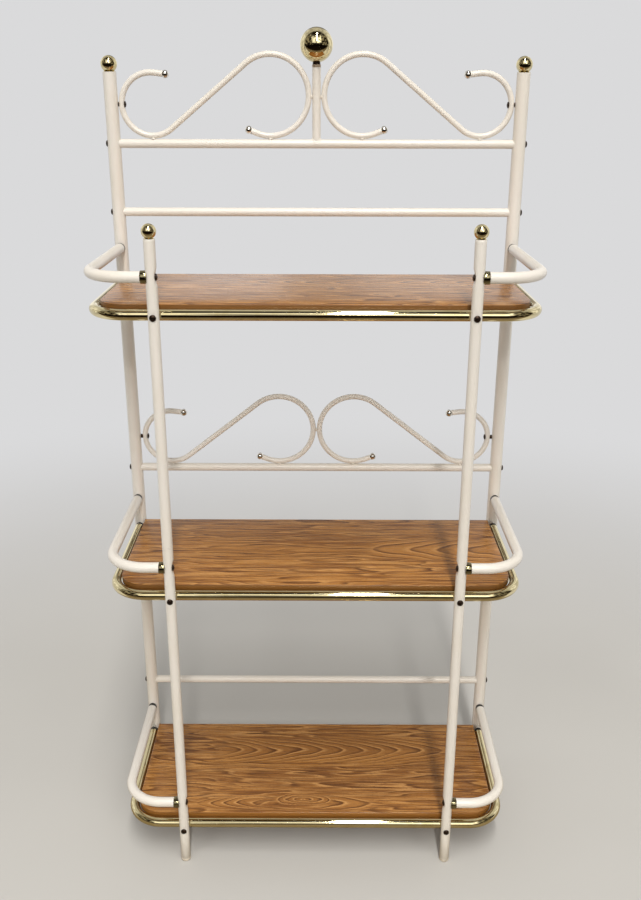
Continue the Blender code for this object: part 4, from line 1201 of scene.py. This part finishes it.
# Each lamp: name, place, aim, width and length, power in watts, and whether metal mirrors it
LAMPS = (("ceiling_fixture", (0.45, -5.2, 8.0), (0.45, -2.6, 0.9), (0.5, 8.5), 590, True),
         ("far_lamp", (0.46, -6.5, 4.7), (0, 0, 0.9), (0.45, 0.45), 80, False),
         ("left_fill", (-2.1, -3.0, 1.0), (0, 0, 0.6), (1.8, 1.8), 24, False),
         ("right_fill", (2.3, -2.8, 0.9), (0, 0, 0.6), (1.8, 1.8), 19, False))


class SHELF_OT_stage(bpy.types.Operator):
    """Lay the pale floor, hang the lamps and set the camera"""
    bl_idname = "shelf.stage"
    bl_label = "Stage"

    place: FloatVectorProperty(name="Camera place", description="Where the camera stands",
                               default=(0.0151, -1.9727, 1.6982), subtype="TRANSLATION", unit="LENGTH",
                               precision=4)
    pitch: FloatProperty(name="Camera pitch", description="How far the camera looks down",
                         default=math.radians(20.403), subtype="ANGLE")
    yaw: FloatProperty(name="Camera yaw", description="How far the camera looks to the right",
                       default=math.radians(-0.132), subtype="ANGLE")
    roll: FloatProperty(name="Camera roll", description="How far the camera is tilted",
                        default=math.radians(0.12), subtype="ANGLE")
    focal: FloatProperty(name="Focal length", description="Of the camera's lens, in millimetres on 36 mm",
                         default=37.79)

    def execute(self, context):
        scene = context.scene
        self.floor(scene.shelf_colours.floor)
        self.lamps()
        self.sky(scene)
        self.camera(scene)
        scene.view_settings.view_transform = "Standard"
        return {"FINISHED"}

    def link(self, made):
        bpy.context.scene.collection.objects.link(made)
        return made

    def floor(self, colour):
        """Pale floor that turns to the backdrop's own tone away from the shelf.

        Metal mirrors a browner tone instead, lighter close to the shelf and pale behind and beside it.
        """
        bm = bmesh.new()
        bmesh.ops.create_circle(bm, cap_ends=True, radius=40, segments=96)
        mesh = bpy.data.meshes.new("studio_floor")
        bm.to_mesh(mesh)
        bm.free()
        material, tree, shader, place = new_material("matt_studio_floor", Roughness=0.8)
        side, depth, _ = add(tree, "SeparateXYZ", [place]).outputs
        seen, mirrored = rays(tree)
        stain = patches(tree, place, 1.3, 2, 0.3, 0.7)
        pale = add(tree, "Mix", [stain, rgba(colour), rgba(colour, 0.96)], **TINT)
        remote = add(tree, "MapRange", [depth, -1.3, -3.4], **SOFT)
        pale = add(tree, "Mix", [remote, pale, rgba(colour, 0.60)], **TINT)

        far = add(tree, "MapRange", [depth, -1.2, -2.3], **SOFT)
        brown = add(tree, "Mix", [far, rgba(linear("7C6F5B")), rgba(linear("120C08"))], **TINT)
        close = add(tree, "MapRange", [depth, -0.8, -0.45], **SOFT)
        brown = add(tree, "Mix", [close, brown, rgba(linear("9A8D75"))], **TINT)
        aside = add(tree, "Math", [side], operation="ABSOLUTE")
        beside = add(tree, "MapRange", [depth, -0.9, -0.2], **SOFT)
        aside = add(tree, "Math", [aside, beside], operation="MULTIPLY")
        aside = add(tree, "Math", [aside, depth], operation="MAXIMUM")
        aside = add(tree, "MapRange", [aside, 0.8, 1.3], **SOFT)
        brown = add(tree, "Mix", [aside, brown, (0.8, 0.79, 0.77, 1)], **TINT)
        fill(tree, shader, {"Base Color": add(tree, "Mix", [seen, brown, pale], **TINT),
                            "Specular IOR Level": add(tree, "Math", [seen, 0.5], operation="MULTIPLY")})

        behind = add(tree, "MapRange", [depth, 0.5, 2.5], **SOFT)
        mirrored = add(tree, "Math", [mirrored, behind], operation="MULTIPLY")
        seen = add(tree, "Math", [seen, mirrored], operation="MAXIMUM")
        away = add(tree, "VectorMath", [place, (0, -1.4, 0)], operation="DISTANCE")
        away = add(tree, "MapRange", [away, 1.9, 4.6], **SOFT)
        fade = add(tree, "Math", [away, seen], operation="MULTIPLY")
        glow = add(tree, "Emission", [rgba(BACKDROP), 1.0])
        mixed = add(tree, "MixShader", [fade, shader, glow])
        fill(tree, tree.nodes["Material Output"], {"Surface": mixed})
        mesh.materials.append(material)
        self.link(bpy.data.objects.new("studio_floor", mesh))

    def lamps(self):
        """A long ceiling fixture that runs to the front, a smaller lamp further off and two soft fills."""
        for name, place, aim, size, watts, mirrored in LAMPS:
            lamp = bpy.data.lights.new(name, "AREA")
            lamp.shape = "RECTANGLE"
            lamp.size, lamp.size_y = size
            lamp.energy = watts
            lamp.color = (1.0, 0.99, 0.975)
            made = self.link(bpy.data.objects.new(name, lamp))
            made.location = place
            made.rotation_euler = (Vector(aim) - Vector(place)).to_track_quat("-Z", "Y").to_euler()
            made.visible_glossy = mirrored

    def sky(self, scene):
        """Pale backdrop for the camera, an even soft light, and the room that bright metal shows.

        The room is pale behind the shelf, with painted shade in its middle, and dark in front, with patches
        of lit ceiling.
        """
        world = bpy.data.worlds.new("studio_world")
        world.use_nodes = True
        tree = world.node_tree
        tree.nodes.clear()
        aim = add(tree, "TexCoord").outputs["Generated"]
        side, depth, height = add(tree, "SeparateXYZ", [aim]).outputs
        aside = add(tree, "Math", [side], operation="ABSOLUTE")
        patch = add(tree, "TexNoise", {"Vector": aim, "Scale": 5.5, "Detail": 3.0})

        # In front: dark walls with pale patches at the sides, and the lit ceiling
        ceiling = add(tree, "MapRange", [height, 0.10, 0.26], **SOFT)
        for limit in ((height, 0.92, 0.62), (aside, 0.62, 0.35), (patch, 0.40, 0.54, 0.25, 1.0),
                      (side, -0.08, 0.08, 0.6, 1.0)):
            limit = add(tree, "MapRange", limit, **SOFT)
            ceiling = add(tree, "Math", [ceiling, limit], operation="MULTIPLY")
        walls = [add(tree, "MapRange", limit, **SOFT) for limit in ((aside, 0.30, 0.62), (patch, 0.44, 0.60))]
        walls = add(tree, "Math", walls, operation="MULTIPLY")
        front = add(tree, "Mix", [walls, rgba(linear("1A120B")), rgba(linear("A49C8A"))], **TINT)
        front = add(tree, "Mix", [ceiling, front, (2.7, 2.65, 2.5, 1)], **TINT)

        # Behind: soft pale stripes, a dim middle and greyer above. The dim middle is painted shade: the
        # shelf's shadow on the backdrop behind it, as the boards and metal mirror it.
        stripes = add(tree, "MapRange", [stretched(tree, aim, (7, 7, 2), 2), 0.40, 0.60], **SOFT)
        low = add(tree, "Mix", [stripes, rgba(linear("D2D0CA")), (1.15, 1.15, 1.15, 1)], **TINT)
        high = add(tree, "Mix", [stripes, rgba(linear("B4B1AB")), rgba(linear("E6E4DF"))], **TINT)
        painted_backdrop_shade = [add(tree, "MapRange", limit, **SOFT) for limit in ((height, 0.14, 0.32), (aside, 0.34, 0.18))]
        painted_backdrop_shade = add(tree, "Math", painted_backdrop_shade, operation="MULTIPLY")
        rear = add(tree, "Mix", [painted_backdrop_shade, low, rgba(linear("6A6762"))], **TINT)
        rear = add(tree, "Mix", [add(tree, "MapRange", [height, 0.50, 0.66], **SOFT), rear, high], **TINT)
        room = add(tree, "Mix", [add(tree, "MapRange", [depth, -0.05, 0.22], **SOFT), front, rear], **TINT)

        seen, mirrored = rays(tree)
        level = add(tree, "MapRange", [height, -0.2, 0.8, 0.26, 0.50], **SOFT)
        soft = add(tree, "Background", [(1, 0.99, 0.97, 1), level])
        shown = add(tree, "Background", [room, 1.0])
        plain = add(tree, "Background", [rgba(BACKDROP), 1.0])
        mixed = add(tree, "MixShader", [mirrored, soft, shown])
        mixed = add(tree, "MixShader", [seen, mixed, plain])
        add(tree, "OutputWorld", {"Surface": mixed})
        scene.world = world

    def camera(self, scene):
        """Camera at the photograph's viewing angle, fitted to the frame's own points."""
        pitch, yaw, roll = self.pitch, self.yaw, self.roll
        lens = bpy.data.cameras.new("camera")
        lens.lens = self.focal
        lens.sensor_width = 36
        made = self.link(bpy.data.objects.new("camera", lens))
        ahead = Vector((math.sin(yaw) * math.cos(pitch), math.cos(yaw) * math.cos(pitch), -math.sin(pitch)))
        right = Vector((math.cos(yaw), -math.sin(yaw), 0))
        up = right.cross(ahead)
        right, up = right * math.cos(roll) + up * math.sin(roll), up * math.cos(roll) - right * math.sin(roll)
        turn = Matrix((right, up, -ahead)).transposed()
        made.matrix_world = Matrix.Translation(self.place) @ turn.to_4x4()
        scene.camera = made


STEPS = (SHELF_OT_finishes, SHELF_OT_rear_uprights, SHELF_OT_front_uprights, SHELF_OT_crossbars,
         SHELF_OT_rails, SHELF_OT_boards, SHELF_OT_arms, SHELF_OT_bolts, SHELF_OT_scrolls,
         SHELF_OT_finials, SHELF_OT_crest, SHELF_OT_feet, SHELF_OT_stage)


class SHELF_PT_panel(bpy.types.Panel):
    """The shelf's steps and its sizes"""
    bl_idname = "SHELF_PT_panel"
    bl_label = "Tiered Shelf"
    bl_space_type = "VIEW_3D"
    bl_region_type = "UI"
    bl_category = "Shelf"

    def draw(self, context):
        for step in STEPS:
            self.layout.operator(step.bl_idname)
        for group in (context.scene.shelf_sizes, context.scene.shelf_colours):
            for name in group.__annotations__:
                self.layout.prop(group, name)


CLASSES = (ShelfSizes, ShelfColours, *STEPS, SHELF_PT_panel)


def register():
    for each in CLASSES:
        bpy.utils.register_class(each)
    bpy.types.Scene.shelf_sizes = PointerProperty(type=ShelfSizes)
    bpy.types.Scene.shelf_colours = PointerProperty(type=ShelfColours)


def unregister():
    del bpy.types.Scene.shelf_colours
    del bpy.types.Scene.shelf_sizes
    for each in reversed(CLASSES):
        bpy.utils.unregister_class(each)


def main():
    register()
    for step in STEPS:
        group, name = step.bl_idname.split(".")
        getattr(getattr(bpy.ops, group), name)()


if __name__ == "__main__":
    main()
